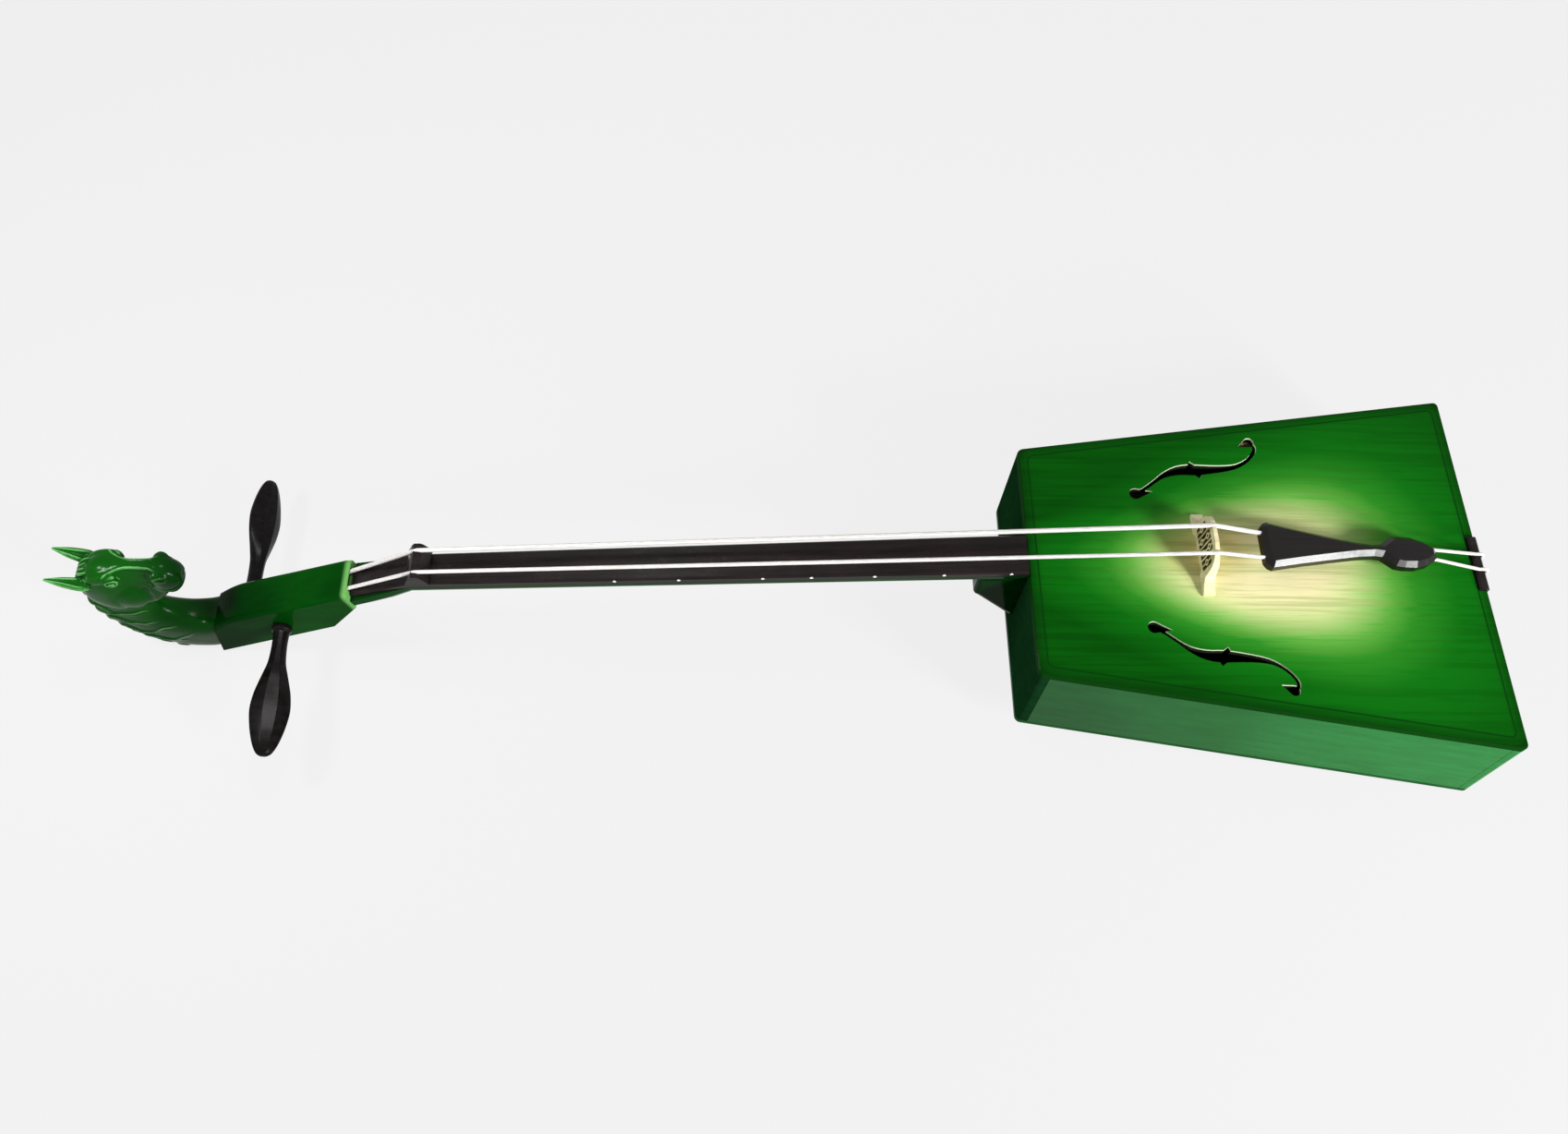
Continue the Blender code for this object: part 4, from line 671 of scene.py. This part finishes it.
@dataclass
class HorseHead:
    """The carved neck and head, built up from rounded masses in millimetres and then cut."""

    joint: Vector = field(default_factory=lambda: Vector((-0.7434, 0, -0.0423)))
    voxel: float = 0.6
    sides: int = 96
    filled: int = 8
    neck: Sequence[tuple] = (
        ((1.3, 25.1), (-4.5, -12.4), 31.0, 0.84, 5.0), ((-9, 22.5), (-14.5, -17.0), 30.6, 0.86, 4.0),
        ((-20.5, 25.5), (-36.5, -19.8), 28.5, 0.88, 3.0), ((-32.5, 33.5), (-55.5, -11.8), 25.4, 0.95, 2.4),
        ((-38, 43), (-70, 2.6), 23.6, 1.0, 2.1), ((-41, 57), (-79.4, 20.4), 23.0, 1.0, 2.0),
        ((-45, 71), (-84, 41), 21.5, 1.0, 2.0), ((-52, 83), (-82.4, 63), 18.5, 1.0, 2.0))
    skull: Sequence[tuple] = (
        ((-77, 83), (-81, 66), 15.0, 1.0, 2.0), ((-72.5, 91), (-77, 52), 23.0, 1.0, 2.4),
        ((-65, 95), (-70, 46), 27.5, 1.0, 2.8), ((-57.5, 97), (-61, 43), 28.0, 1.05, 3.2),
        ((-51, 98), (-53, 43), 21.5, 1.3, 3.4), ((-45, 98.3), (-46, 45), 13.5, 1.95, 3.6),
        ((-39, 98), (-39, 47.5), 9.0, 2.7, 3.8), ((-32, 98), (-31, 53), 8.0, 2.8, 3.8),
        ((-27, 98), (-25, 58.5), 9.0, 2.3, 3.4), ((-21, 97), (-18, 67), 11.0, 1.7, 2.8))
    muzzle: Sequence[tuple] = (
        ((-30, 93), (-28.5, 67), 10.0, 1.5, 2.4), ((-24.5, 97.5), (-23, 65.5), 18.0, 1.1, 2.5),
        ((-19, 98), (-17, 66), 22.0, 0.95, 2.5), ((-13.5, 96), (-12, 68), 20.5, 0.92, 2.4),
        ((-9, 92.5), (-8.5, 72), 17.0, 0.95, 2.2), ((-6, 87), (-6, 78.5), 10.5, 1.0, 2.0))
    ear_root: Point = (-66.5, 10.5, 82)
    ear_tip: Point = (-94.7, 12.4, 95.0)
    ear_widths: Sequence[tuple] = ((0, 1.6), (0.08, 3.9), (0.17, 5.1), (0.27, 5.4), (0.45, 4.9), (0.65, 3.9),
                                   (0.85, 2.2), (1.0, 0.8))
    ridge: Sequence[Point] = (
        (-60.5, 12.2, 90.5), (-57.9, 12.2, 92.6), (-54.1, 10.2, 95.6), (-51.0, 7.6, 96.1), (-46.6, 4.6, 96.5),
        (-40.6, 3.0, 97.0), (-32.0, 3.0, 97.0), (-25.0, 3.6, 97.0), (-20.6, 5.6, 96.4), (-18.0, 8.4, 94.6))
    flow: int = 22
    finish: int = 3
    locks: int = 9
    curls: int = 9
    neck_rows: list = field(init=False)

    def __post_init__(self) -> None:
        """Work out the neck's filled-in rows once."""
        self.neck_rows = self.rows(self.neck)

    def ring(self, front: Point, back: Point, width: float, taper: float, fullness: float) -> list[Vector]:
        """Return a section between a front and a back point of the side view.

        Args:
            front: The front point's x and z.
            back: The back point's x and z.
            width: The width at the front.
            taper: The width at the back as a share of it.
            fullness: How square the section is; 2 is an ellipse.

        Returns:
            The section's points.
        """
        return [self.on_ring(front, back, width, taper, fullness, math.tau * (index + 0.5) / self.sides)
                for index in range(self.sides)]

    @staticmethod
    def on_ring(front: Point, back: Point, width: float, taper: float, fullness: float,
                turn: float) -> Vector:
        """Return the section's point at a turn from its front."""
        front, back = Vector((front[0], 0, front[1])), Vector((back[0], 0, back[1]))
        along = math.copysign(abs(math.cos(turn)) ** (2 / fullness), math.cos(turn))
        across = math.copysign(abs(math.sin(turn)) ** (2 / fullness), math.sin(turn))
        half = width / 2 * (taper + (1 - taper) * (1 + along) / 2)
        return (front + back) / 2 + (front - back) / 2 * along + Vector((0, across * half, 0))

    def mass(self, bm: bmesh.types.BMesh, stations: Sequence[tuple]) -> None:
        """Add a mass through sections given as front and back point, width, taper and fullness."""
        loft(bm, [self.ring(row[0:2], row[2:4], *row[4:]) for row in self.rows(stations)])

    def rows(self, stations: Sequence[tuple]) -> list[list[float]]:
        """Return the stations as plain rows, with further rows between them."""
        return spread([(*front, *back, *rest) for front, back, *rest in stations], self.filled)

    @staticmethod
    def lump(bm: bmesh.types.BMesh, centre: Point, radii: Point, tilt: float = 0.0, detail: int = 5) -> None:
        """Add an ellipsoid, tilted in degrees about Y."""
        matrix = (Matrix.Translation(centre) @ Matrix.Rotation(math.radians(tilt), 4, "Y")
                  @ Matrix.Diagonal((*radii, 1)))
        bmesh.ops.create_icosphere(bm, subdivisions=detail, radius=1, matrix=matrix)

    @staticmethod
    def strand(bm: bmesh.types.BMesh, points: Sequence[Point], thick: float, taper: float = 0.85) -> None:
        """Add a lock of hair: thickest at a third of its length and pointed at its end."""
        line = glide(points, 6)
        rings = []
        for index, point in enumerate(line):
            share = index / (len(line) - 1)
            rise = math.sin(math.pi / 2 * min(1.0, share / 0.3 + 0.25))
            radius = thick * rise * (1 - max(0.0, share - 0.3) / 0.7 * taper)
            way = line[min(index + 1, len(line) - 1)] - line[max(index - 1, 0)]
            across = way.cross(Vector((0, 1, 0))).normalized()
            upright = across.cross(way).normalized()
            rings.append([point + radius * (math.cos(turn) * across + math.sin(turn) * upright)
                          for turn in (math.tau * n / 10 for n in range(10))])
        loft(bm, rings)

    def on_neck(self, place: float, across: float, side: int, sunk: float) -> Vector:
        """Return a point on or under the neck's flank.

        Args:
            place: The station, counted from the joint.
            across: From 0 at the crest to 1 at the throat.
            side: The sign of Y.
            sunk: How far under the skin.

        Returns:
            The point.
        """
        row = self.neck_rows[round(max(0.0, min(place, len(self.neck) - 1)) * self.filled)]
        point = self.on_ring(row[0:2], row[2:4], *row[4:], math.pi * (1 - across))
        point.y = abs(point.y) * side
        middle = Vector(((row[0] + row[2]) / 2, 0, (row[1] + row[3]) / 2))
        return point + (middle - point).normalized() * sunk

    def mane(self, bm: bmesh.types.BMesh, side: int) -> None:
        """Lay long locks over the flank and short curls along the crest."""
        top = len(self.neck) - 1.1
        for index in range(self.locks):
            start = top - 0.44 * index
            low, reach = 0.16, 0.60 - 0.16 * (index % 2) - 0.012 * index
            points = [self.on_neck(start - 1.9 * share, low + reach * share ** 0.75
                                   + 0.03 * math.sin(5.0 * share + 1.7 * index), side, 1.6 * (1 - share) + 0.2)
                      for share in (0, 0.17, 0.33, 0.5, 0.67, 0.83, 1.0)]
            self.strand(bm, points, 2.7)
        for index in range(self.curls):
            start = top + 0.15 - 0.58 * index
            points = [self.on_neck(start - 0.7 * share, 0.04 + 0.26 * math.sin(2.6 * share), side,
                                   1.4 * (1 - share)) for share in (0, 0.25, 0.5, 0.75, 1.0)]
            self.strand(bm, points, 3.0 - 0.12 * index)

    def forelock(self, bm: bmesh.types.BMesh) -> None:
        """Lay a few locks from between the ears over the forehead."""
        for end in (-6, -2, 2, 6):
            points = [(-79, 0.4 * end, 78), (-76, 0.7 * end, 86.5), (-70.5, end, 92.0),
                      (-65 + abs(end) * 0.5, 0.8 * end, 95.0)]
            self.strand(bm, points, 2.0)

    def ear_frame(self, side: int) -> tuple[Vector, Vector, Vector, float]:
        """Return an ear's root, its axis, the way it opens and its length."""
        root = Vector(self.ear_root) * Vector((1, side, 1))
        tip = Vector(self.ear_tip) * Vector((1, side, 1))
        axis = (tip - root).normalized()
        out = Vector((0.35, side * -0.15, 0.9))
        return root, axis, (out - axis * out.dot(axis)).normalized(), (tip - root).length

    def ear(self, bm: bmesh.types.BMesh, side: int) -> None:
        """Add a leaf-shaped ear."""
        root, axis, front, length = self.ear_frame(side)
        across = axis.cross(front)
        rings = []
        for share, width in spread(self.ear_widths, 4):
            centre = root + axis * length * share
            thick = 0.5 + 0.42 * width
            rings.append([centre + across * width * math.cos(turn) + front * thick * math.sin(turn)
                          for turn in (math.tau * n / 24 for n in range(24))])
        loft(bm, rings)

    def ear_hollow(self, point: Vector, normal: Vector) -> float:
        """Return how deep the hollow of an ear is at a point."""
        root, axis, front, length = self.ear_frame(1 if point.y > 0 else -1)
        share = (point - root).dot(axis) / length
        if not 0.15 < share < 1 or normal.dot(front) < 0:
            return 0.0
        width = max(0.8, 5.2 * (1 - max(0.0, share - 0.3) / 0.7))
        aside = (point - root).dot(axis.cross(front)) / (0.52 * width)
        return 0.42 * width * math.exp(-aside ** 4) * min(1.0, (share - 0.15) / 0.2)

    def masses(self) -> bmesh.types.BMesh:
        """Build up the masses that flow into each other."""
        bm = bmesh.new()
        for stations in (self.neck, self.skull, self.muzzle):
            self.mass(bm, stations)
        for side in (1, -1):
            self.lump(bm, (-50, side * 6.3, 62), (16, 7.6, 17), 20)
            self.lump(bm, (-59, side * 9.2, 91.8), (12, 4.4, 4.5), -12)
            self.lump(bm, (-50.8, side * 10.6, 88.8), (4.4, 3.4, 4.0))
            self.lump(bm, (-19.6, side * 7.6, 92.0), (5.6, 4.2, 4.6), 20)
        self.lump(bm, (-18, 0, 69.5), (7.0, 7.6, 5.0), 24)
        self.lump(bm, (-60, 0, 93.2), (10, 9, 4.8), -10)
        return bm

    def details(self, bm: bmesh.types.BMesh) -> None:
        """Add what stands out with an edge of its own: the ears, the hair and the face's ridges."""
        for side in (1, -1):
            self.ear(bm, side)
            self.mane(bm, side)
            self.strand(bm, [(x, side * y, z) for x, y, z in self.ridge], 1.45, 0.25)
        self.forelock(bm)

    def fuse(self, bm: bmesh.types.BMesh, rounds: int) -> bpy.types.Mesh:
        """Return one smoothed skin round all the masses of a bmesh, which is freed.

        The masses are turned for it, so that no large face lies along the grid and gets steps.
        """
        askew = Matrix.Rotation(math.radians(35.3), 4, "Y") @ Matrix.Rotation(math.radians(45.0), 4, "X")
        bm.transform(askew)
        blank = bpy.data.meshes.new("blank")
        bm.to_mesh(blank)
        bm.free()
        rough = bpy.data.objects.new("blank", blank)
        bpy.context.scene.collection.objects.link(rough)
        remesh = rough.modifiers.new("One skin", "REMESH")
        remesh.mode = "VOXEL"
        remesh.voxel_size = self.voxel
        soften = rough.modifiers.new("Soften", "SMOOTH")
        soften.iterations = rounds
        soften.factor = 0.5
        depsgraph = bpy.context.evaluated_depsgraph_get()
        skin = bpy.data.meshes.new_from_object(rough.evaluated_get(depsgraph))
        skin.transform(askew.inverted())
        bpy.data.objects.remove(rough)
        bpy.data.meshes.remove(blank)
        return skin

    @staticmethod
    def gouge(point: Vector, line: Sequence[Point], width: float, depth: float) -> float:
        """Return how deep a rounded groove along a side-view line is at a point."""
        flat = Vector((point.x, point.z))
        nearest = min(to_segment(flat, Vector(a), Vector(b)) for a, b in zip(line, line[1:]))
        return depth * math.exp(-(nearest / width) ** 2)

    def carve(self, mesh: bpy.types.Mesh) -> None:
        """Move the skin in and out: eyes, nostrils, mouth, jaw and the crease behind the muzzle."""
        mouth = [(-3, 80), (-8, 78.4), (-15, 76.6), (-21, 76.4), (-26.5, 78.5)]
        cheek = [(-37, 51), (-33.5, 58), (-33, 66), (-35.5, 73)]
        crease = [(-25, 95.5), (-27.5, 90), (-28, 83)]
        normals = [vert.normal.copy() for vert in mesh.vertices]
        for vert, normal in zip(mesh.vertices, normals):
            point = vert.co
            if point.z < 48:
                continue
            flank = min(1.0, abs(normal.y) * 1.5)
            move = 0.0
            if point.x < -66:
                move -= self.ear_hollow(point, normal)
            elif point.x > -32:
                front = min(1.0, math.hypot(normal.y, normal.x) * 1.3)
                nostril = math.hypot((point.x + 17.6) / 2.4 + (point.z - 91.5) * 0.14, (point.z - 91.5) / 1.8)
                move -= self.gouge(point, mouth, 1.1, 1.7) * front
                move -= self.gouge(point, crease, 1.4, 0.8) * flank
                move += (0.7 * math.exp(-((nostril - 1.5) / 0.5) ** 2) - 2.4 * math.exp(-nostril ** 2)) * flank
            else:
                move += self.eye(point) * flank
            move -= self.gouge(point, cheek, 2.6, 0.8) * flank
            vert.co = point + normal * move

    @staticmethod
    def eye(point: Vector) -> float:
        """Return the height of the eyeball's rim and its lids at a point."""
        x, z = point.x + 50.6, (point.z - 88.8) * 1.3
        away = math.hypot(x, z)
        lids = 0.7 * math.exp(-((away - 4.4) / 0.7) ** 2)
        corner = 0.7 * math.exp(-((x - 4.0) ** 2 + (z + 1.2) ** 2) / 2.0)
        return lids - 1.3 * math.exp(-((away - 3.2) / 0.6) ** 2) - corner

    def build(self, green: bpy.types.Material) -> None:
        """Make the carving and let it stand for the plain one."""
        flowing = self.fuse(self.masses(), self.flow)
        bm = bmesh.new()
        bm.from_mesh(flowing)
        bpy.data.meshes.remove(flowing)
        self.details(bm)
        skin = self.fuse(bm, self.finish)
        self.carve(skin)
        carved = bmesh.new()
        carved.from_mesh(skin)
        bpy.data.meshes.remove(skin)
        bmesh.ops.scale(carved, vec=Vector.Fill(3, MILLIMETRE), verts=carved.verts)
        bmesh.ops.translate(carved, vec=self.joint, verts=carved.verts)
        piece = new_piece("carved_horse_head", carved, green, Body.FIDDLE, ["horse_head"],
                          smooth=False)
        piece.data.shade_smooth()


@dataclass
class NeckAssembly:
    """The neck, the fingerboard with its dots, the nut and the pegbox."""

    def build(self, green: bpy.types.Material, pegbox: bpy.types.Material, ebony: bpy.types.Material,
              pearl: bpy.types.Material) -> None:
        """Dress the neck's nodes."""
        nodes = frame["nodes"]
        for name, material in (("neck", green), ("pegbox", pegbox)):
            dress(nodes[name], material)
            round_edges(nodes[name], 0.0006, 3)
        for name in ("fingerboard", "nut"):
            dress(nodes[name], ebony)
            round_edges(nodes[name], 0.0005)
        for name, node in nodes.items():
            if name.startswith("side_dot"):
                dress(node, pearl)


@dataclass
class Tuner:
    """A peg with its turns of string, on the axis that the record gives."""

    name: str
    body: Body
    string_radius: float
    paddle_turn: float
    reach: float = 0.1165
    flank: float = 0.0158
    blind: float = 0.0132
    shank: float = 0.0042
    collar: float = 0.0074
    collar_length: float = 0.006
    throat: float = 0.0055
    width: float = 0.0275
    thickness: float = 0.0120
    exit: float = 0.0067
    tilt: float = math.radians(24.7)
    gap: float = 0.0003
    turns: int = 3

    def axis(self) -> Matrix:
        """Return the peg's frame: its Y along the axis towards the paddle."""
        joints = {joint["name"]: joint for joint in frame["record"]["behaviour"]["joints"]}
        joint = joints[f"{self.name}_peg_turn"]
        along = Vector(joint["axis"]).normalized()
        across = along.cross(Vector((-math.sin(self.tilt), 0, math.cos(self.tilt)))).normalized()
        upright = across.cross(along)
        turned = Matrix((across, along, upright)).transposed().to_4x4()
        return (Matrix.Translation(joint["pos_m"]) @ turned
                @ Matrix.Rotation(math.radians(self.paddle_turn), 4, "Y"))

    @staticmethod
    def section(y: float, width: float, thickness: float, facet: float) -> list[Vector]:
        """Return a section that passes from a circle to a faceted paddle."""
        flat = [(1, 0.18), (0.78, 0.55), (0.36, 1.0), (-0.36, 1.0), (-0.78, 0.55), (-1, 0.18)]
        flat += [(-x, -z) for x, z in flat]
        points = []
        for index, (x, z) in enumerate(flat):
            turn = math.tau * (index + 0.5) / len(flat)
            points.append(Vector((width / 2 * (math.cos(turn) * (1 - facet) + x * facet), y,
                                  thickness / 2 * (math.sin(turn) * (1 - facet) + z * facet))))
        return points

    def peg(self, black: bpy.types.Material) -> None:
        """Make the peg: a round shank, a turned collar and a faceted paddle."""
        root, wide, thick = self.flank, self.width, self.thickness
        blade = self.reach - root
        shank, collar, throat = 2 * self.shank, 2 * self.collar, 2 * self.throat
        shaft = [(-self.blind, 0.94 * shank, 0.94 * shank, 0), (-self.blind + 0.0006, shank, shank, 0),
                 (root, shank, shank, 0)]
        ring = spread([(root, 0.88 * collar, 0.88 * collar, 0),
                       (root + 0.15 * self.collar_length, 0.97 * collar, 0.97 * collar, 0),
                       (root + 0.4 * self.collar_length, collar, collar, 0),
                       (root + 0.65 * self.collar_length, 0.97 * collar, 0.97 * collar, 0),
                       (root + 0.85 * self.collar_length, 0.82 * collar, 0.82 * collar, 0)], 2)
        paddle = spread([(root + self.collar_length, 1.06 * throat, 1.06 * throat, 0),
                         (root + 0.16 * blade, throat, throat, 0.2),
                         (root + 0.29 * blade, 0.46 * wide, 0.92 * thick, 0.7),
                         (root + 0.38 * blade, 0.62 * wide, thick, 1), (root + 0.46 * blade, 0.78 * wide, thick, 1),
                         (root + 0.55 * blade, 0.93 * wide, thick, 1), (root + 0.66 * blade, wide, thick, 1),
                         (root + 0.77 * blade, 0.90 * wide, 0.96 * thick, 1),
                         (root + 0.86 * blade, 0.75 * wide, 0.88 * thick, 1),
                         (root + 0.93 * blade, 0.58 * wide, 0.74 * thick, 1),
                         (root + 0.98 * blade, 0.38 * wide, 0.50 * thick, 1),
                         (self.reach, 0.18 * wide, 0.24 * thick, 1)], 4)
        bm = bmesh.new()
        loft(bm, [self.section(*row) for row in (*shaft, *ring, *paddle)])
        bm.transform(self.axis())
        piece = new_piece(f"turned_{self.name}_peg", bm, black, self.body, [f"{self.name}_peg"])
        round_edges(piece, 0.0005, 3, 16.0)

    def winding(self, filament: bpy.types.Material) -> None:
        """Make the turns of string as one helix whose ends dive into the shank."""
        lay = self.shank + self.gap + self.string_radius
        steps, sides = 28 * self.turns, 10
        rings = []
        for step in range(steps + 1):
            share = step / steps
            turn = math.tau * self.turns * share
            sunk = 2 * self.string_radius * max(0.0, 1 - min(step, steps - step) / 5)
            outward = Vector((math.cos(turn), 0, math.sin(turn)))
            centre = outward * (lay - sunk)
            centre.y = self.exit - 2 * self.string_radius * self.turns * (1 - share)
            rings.append([centre + self.string_radius * 0.98 * (math.cos(angle) * outward
                                                                 + Vector((0, math.sin(angle), 0)))
                          for angle in (math.tau * n / sides for n in range(sides))])
        bm = bmesh.new()
        loft(bm, rings)
        bm.transform(self.axis())
        new_piece(f"wound_{self.name}_string", bm, filament, self.body,
                  [f"{self.name}_winding"])

    def build(self, black: bpy.types.Material, filament: bpy.types.Material) -> None:
        """Make the peg and its turns of string."""
        self.peg(black)
        self.winding(filament)


@dataclass
class Strings:
    """The strings with their knots, the bridge, the tailpiece and the tail cord."""

    def build(self, filament: bpy.types.Material, braid: bpy.types.Material, pale: bpy.types.Material,
              ebony: bpy.types.Material, polished: bpy.types.Material) -> None:
        """Dress what the strings run over and hang on."""
        nodes = frame["nodes"]
        for name, node in nodes.items():
            if name.startswith("tail_cord"):
                dress(node, braid)
            elif name.endswith(("_string", "_knot")):
                dress(node, filament)
        dress(nodes["bridge"], pale)
        round_edges(nodes["bridge"], 0.0003)
        for name in ("tailpiece", "saddle", "end_pin"):
            dress(nodes[name], polished if name == "tailpiece" else ebony)
            round_edges(nodes[name], 0.0005)


@dataclass
class Studio:
    """The camera, the floor and the lamps."""

    eye: Vector = field(default_factory=lambda: Vector((-0.36704, -0.44857, 0.92220)))
    aim: Vector = field(default_factory=lambda: Vector((-0.32850, -0.01111, 0.087)))
    roll: float = -0.2877
    focal_pixels: float = 1497.8
    sensor: float = 36.0
    white: float = 0.885
    ambient: float = 0.25
    glow: float = 0.94
    floor_tilt: float = 3.62

    def camera(self) -> None:
        """Place the camera where the photograph was taken."""
        back = (self.eye - self.aim).normalized()
        right = Vector((0, 1, 0)).cross(back).normalized()
        up = back.cross(right)
        turn = Matrix((right, up, back)).transposed().to_4x4() @ Matrix.Rotation(
            math.radians(self.roll), 4, "Z")
        data = bpy.data.cameras.new("Camera")
        data.sensor_width = self.sensor
        data.sensor_fit = "HORIZONTAL"
        data.lens = self.focal_pixels * self.sensor / PHOTO_WIDTH
        data.clip_start = 0.01
        camera = bpy.data.objects.new("Camera", data)
        camera.matrix_world = Matrix.Translation(self.eye) @ turn
        bpy.context.scene.collection.objects.link(camera)
        bpy.context.scene.camera = camera

    def floor(self) -> None:
        """Lay a pale floor that the head and the tail end rest on."""
        bm = bmesh.new()
        bmesh.ops.create_grid(bm, x_segments=1, y_segments=1, size=8)
        mesh = bpy.data.meshes.new("floor")
        bm.to_mesh(mesh)
        bm.free()
        floor = bpy.data.objects.new("floor", mesh)
        floor.location = (frame_tail_x(), 0, -0.0005)
        floor.rotation_euler = (0, -math.radians(self.floor_tilt), 0)
        bpy.context.scene.collection.objects.link(floor)
        material, graph, shader = start_material("Pale floor")
        shader.inputs["Base Color"].default_value = (0.80, 0.80, 0.80, 1)
        shader.inputs["Roughness"].default_value = 0.9
        shader.inputs["Specular IOR Level"].default_value = 0.1
        glow = graph.node("Emission")
        glow.inputs["Color"].default_value = (1, 1, 1, 1)
        glow.inputs["Strength"].default_value = self.white
        mixer = graph.node("MixShader")
        graph.wire(graph.math("MULTIPLY", self.seen(graph), self.glow), mixer.inputs[0])
        graph.wire(shader.outputs[0], mixer.inputs[1])
        graph.wire(glow.outputs[0], mixer.inputs[2])
        graph.wire(mixer.outputs[0], material.node_tree.nodes["Material Output"].inputs[0])
        mesh.materials.append(material)

    @staticmethod
    def seen(graph: Graph) -> Socket:
        """Return 1 for rays from the camera and for those that gloss or glass sends on."""
        path = graph.node("LightPath")
        most = graph.math("MAXIMUM", path.outputs["Is Camera Ray"], path.outputs["Is Glossy Ray"])
        return graph.math("MAXIMUM", most, path.outputs["Is Transmission Ray"])

    def world(self) -> None:
        """Light the room evenly from all sides, and show it white."""
        world = bpy.data.worlds.new("Studio")
        bpy.context.scene.world = world
        world.use_nodes = True
        graph = Graph(world.node_tree)
        strength = graph.math("MULTIPLY_ADD", self.seen(graph), self.white - self.ambient, self.ambient)
        background = world.node_tree.nodes["Background"]
        background.inputs["Color"].default_value = (1, 1, 1, 1)
        graph.wire(strength, background.inputs["Strength"])

    def lamp(self, name: str, place: Point, size: float, power: float,
             target: Point = (-0.15, 0, 0.05)) -> None:
        """Hang a soft square lamp that points at the fiddle."""
        data = bpy.data.lights.new(name, "AREA")
        data.shape = "SQUARE"
        data.size = size
        data.energy = power
        lamp = bpy.data.objects.new(name, data)
        lamp.location = place
        lamp.visible_camera = False
        way = Vector(target) - Vector(place)
        lamp.rotation_euler = way.to_track_quat("-Z", "Y").to_euler()
        bpy.context.scene.collection.objects.link(lamp)

    def build(self) -> None:
        """Set up the whole studio."""
        bpy.context.scene.view_settings.view_transform = "Standard"
        self.camera()
        self.floor()
        self.world()
        self.lamp("Key", (1.50, -1.56, 1.46), 0.50, 69)
        self.lamp("Edge", (0.64, -0.92, 0.60), 0.13, 4)
        self.lamp("Bevel", (0.86, -0.80, 0.46), 0.15, 6.5)
        self.lamp("Top", (-0.985, -0.03, 0.49), 0.10, 2.4, (-0.78, 0, 0.05))
        self.lamp("Over", (-0.55, 0.163, 0.67), 0.11, 1.1, (-0.69, -0.1, 0))


def frame_tail_x() -> float:
    """Return the X of the box's tail end."""
    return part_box("back_board")[1].x


def main() -> None:
    """Dress every node, add the finer pieces and set up the studio."""
    logging.basicConfig(level=logging.INFO, format="%(name)s: %(message)s")
    shop = Workshop()
    # Painted shade towards the joint; sharp edges paler, partly wear and partly painted highlight.
    carved = GreenLacquer("Carved lacquer", (0.0008, 0.038, 0.0012), (0.003, 0.075, 0.003), wear_and_sheen=0.6,
                          gloss=0.15, specular=0.055, ripple=0.02, shade=(-0.750, -0.790, 0.55)).material(shop)
    # Painted shade towards the joint and a painted highlight along the mouth.
    pegbox = GreenLacquer("Pegbox lacquer", (0.0008, 0.036, 0.002), (0.0016, 0.058, 0.003), specular=0.01,
                          shade=(-0.745, -0.685, 0.75), lip=(0.97, 0.25, -0.6120, -0.6080)).material(shop)
    # Painted shade towards the heel.
    green = GreenLacquer("Green lacquer", (0.001, 0.034, 0.003), (0.002, 0.048, 0.004), specular=0.015,
                         shade=(-0.17, -0.26, 0.7)).material(shop)
    # A lighter copy of the green that darkens towards the neck end: painted light and shade on the ribs.
    ribs = GreenLacquer("Rib lacquer with painted light", (0.008, 0.135, 0.020), (0.012, 0.165, 0.030), specular=0.04,
                        shade=(-0.18, 0.10, 0.6)).material(shop)
    # A darker copy of the green for the end that faces away from the light: painted shade.
    end = GreenLacquer("End rib lacquer in painted shade", (0.004, 0.027, 0.008), (0.006, 0.036, 0.011),
                       specular=0.0).material(shop)
    back = GreenLacquer("Back lacquer", (0.003, 0.060, 0.008), (0.005, 0.080, 0.012),
                        specular=0.012).material(shop)
    ebony = PlainWood("Ebony", (0.016, 0.010, 0.010), (0.006, 0.004, 0.004), 0.24, 0.14).material(shop)
    black = PlainWood("Polished black", (0.007, 0.006, 0.006), (0.003, 0.002, 0.002), 0.22, 0.06).material(shop)
    polished = PlainWood("Polished ebony", (0.008, 0.005, 0.005), (0.003, 0.002, 0.002), 0.20, 0.22).material(shop)
    pale = PlainWood("Pale wood", (0.88, 0.81, 0.54), (0.72, 0.61, 0.35), 0.5, 0.2,
                     pierced=(0.003, 0.0168, 0.0935, 0.1137)).material(shop)
    inner = PlainWood("Bare wood", (0.55, 0.38, 0.20), (0.36, 0.23, 0.11), 0.7).material(shop)
    filament = Filament("White filament", (0.86, 0.84, 0.82), (0.62, 0.59, 0.56)).material(shop)
    braid = Braid("Braided cord", (0.86, 0.84, 0.80), (0.50, 0.47, 0.43)).material(shop)
    SoundBox().build(shop, ribs, end, back, inner)
    NeckAssembly().build(green, pegbox, ebony, Pearl().material(shop))
    HorseHead().build(carved)
    Tuner("bass", Body.BASS_TUNER, 0.0016, 82.0).build(black, filament)
    Tuner("treble", Body.TREBLE_TUNER, 0.00135, -40.0).build(black, filament)
    Strings().build(filament, braid, pale, ebony, polished)
    Studio().build()


if __name__ == "__main__":
    main()
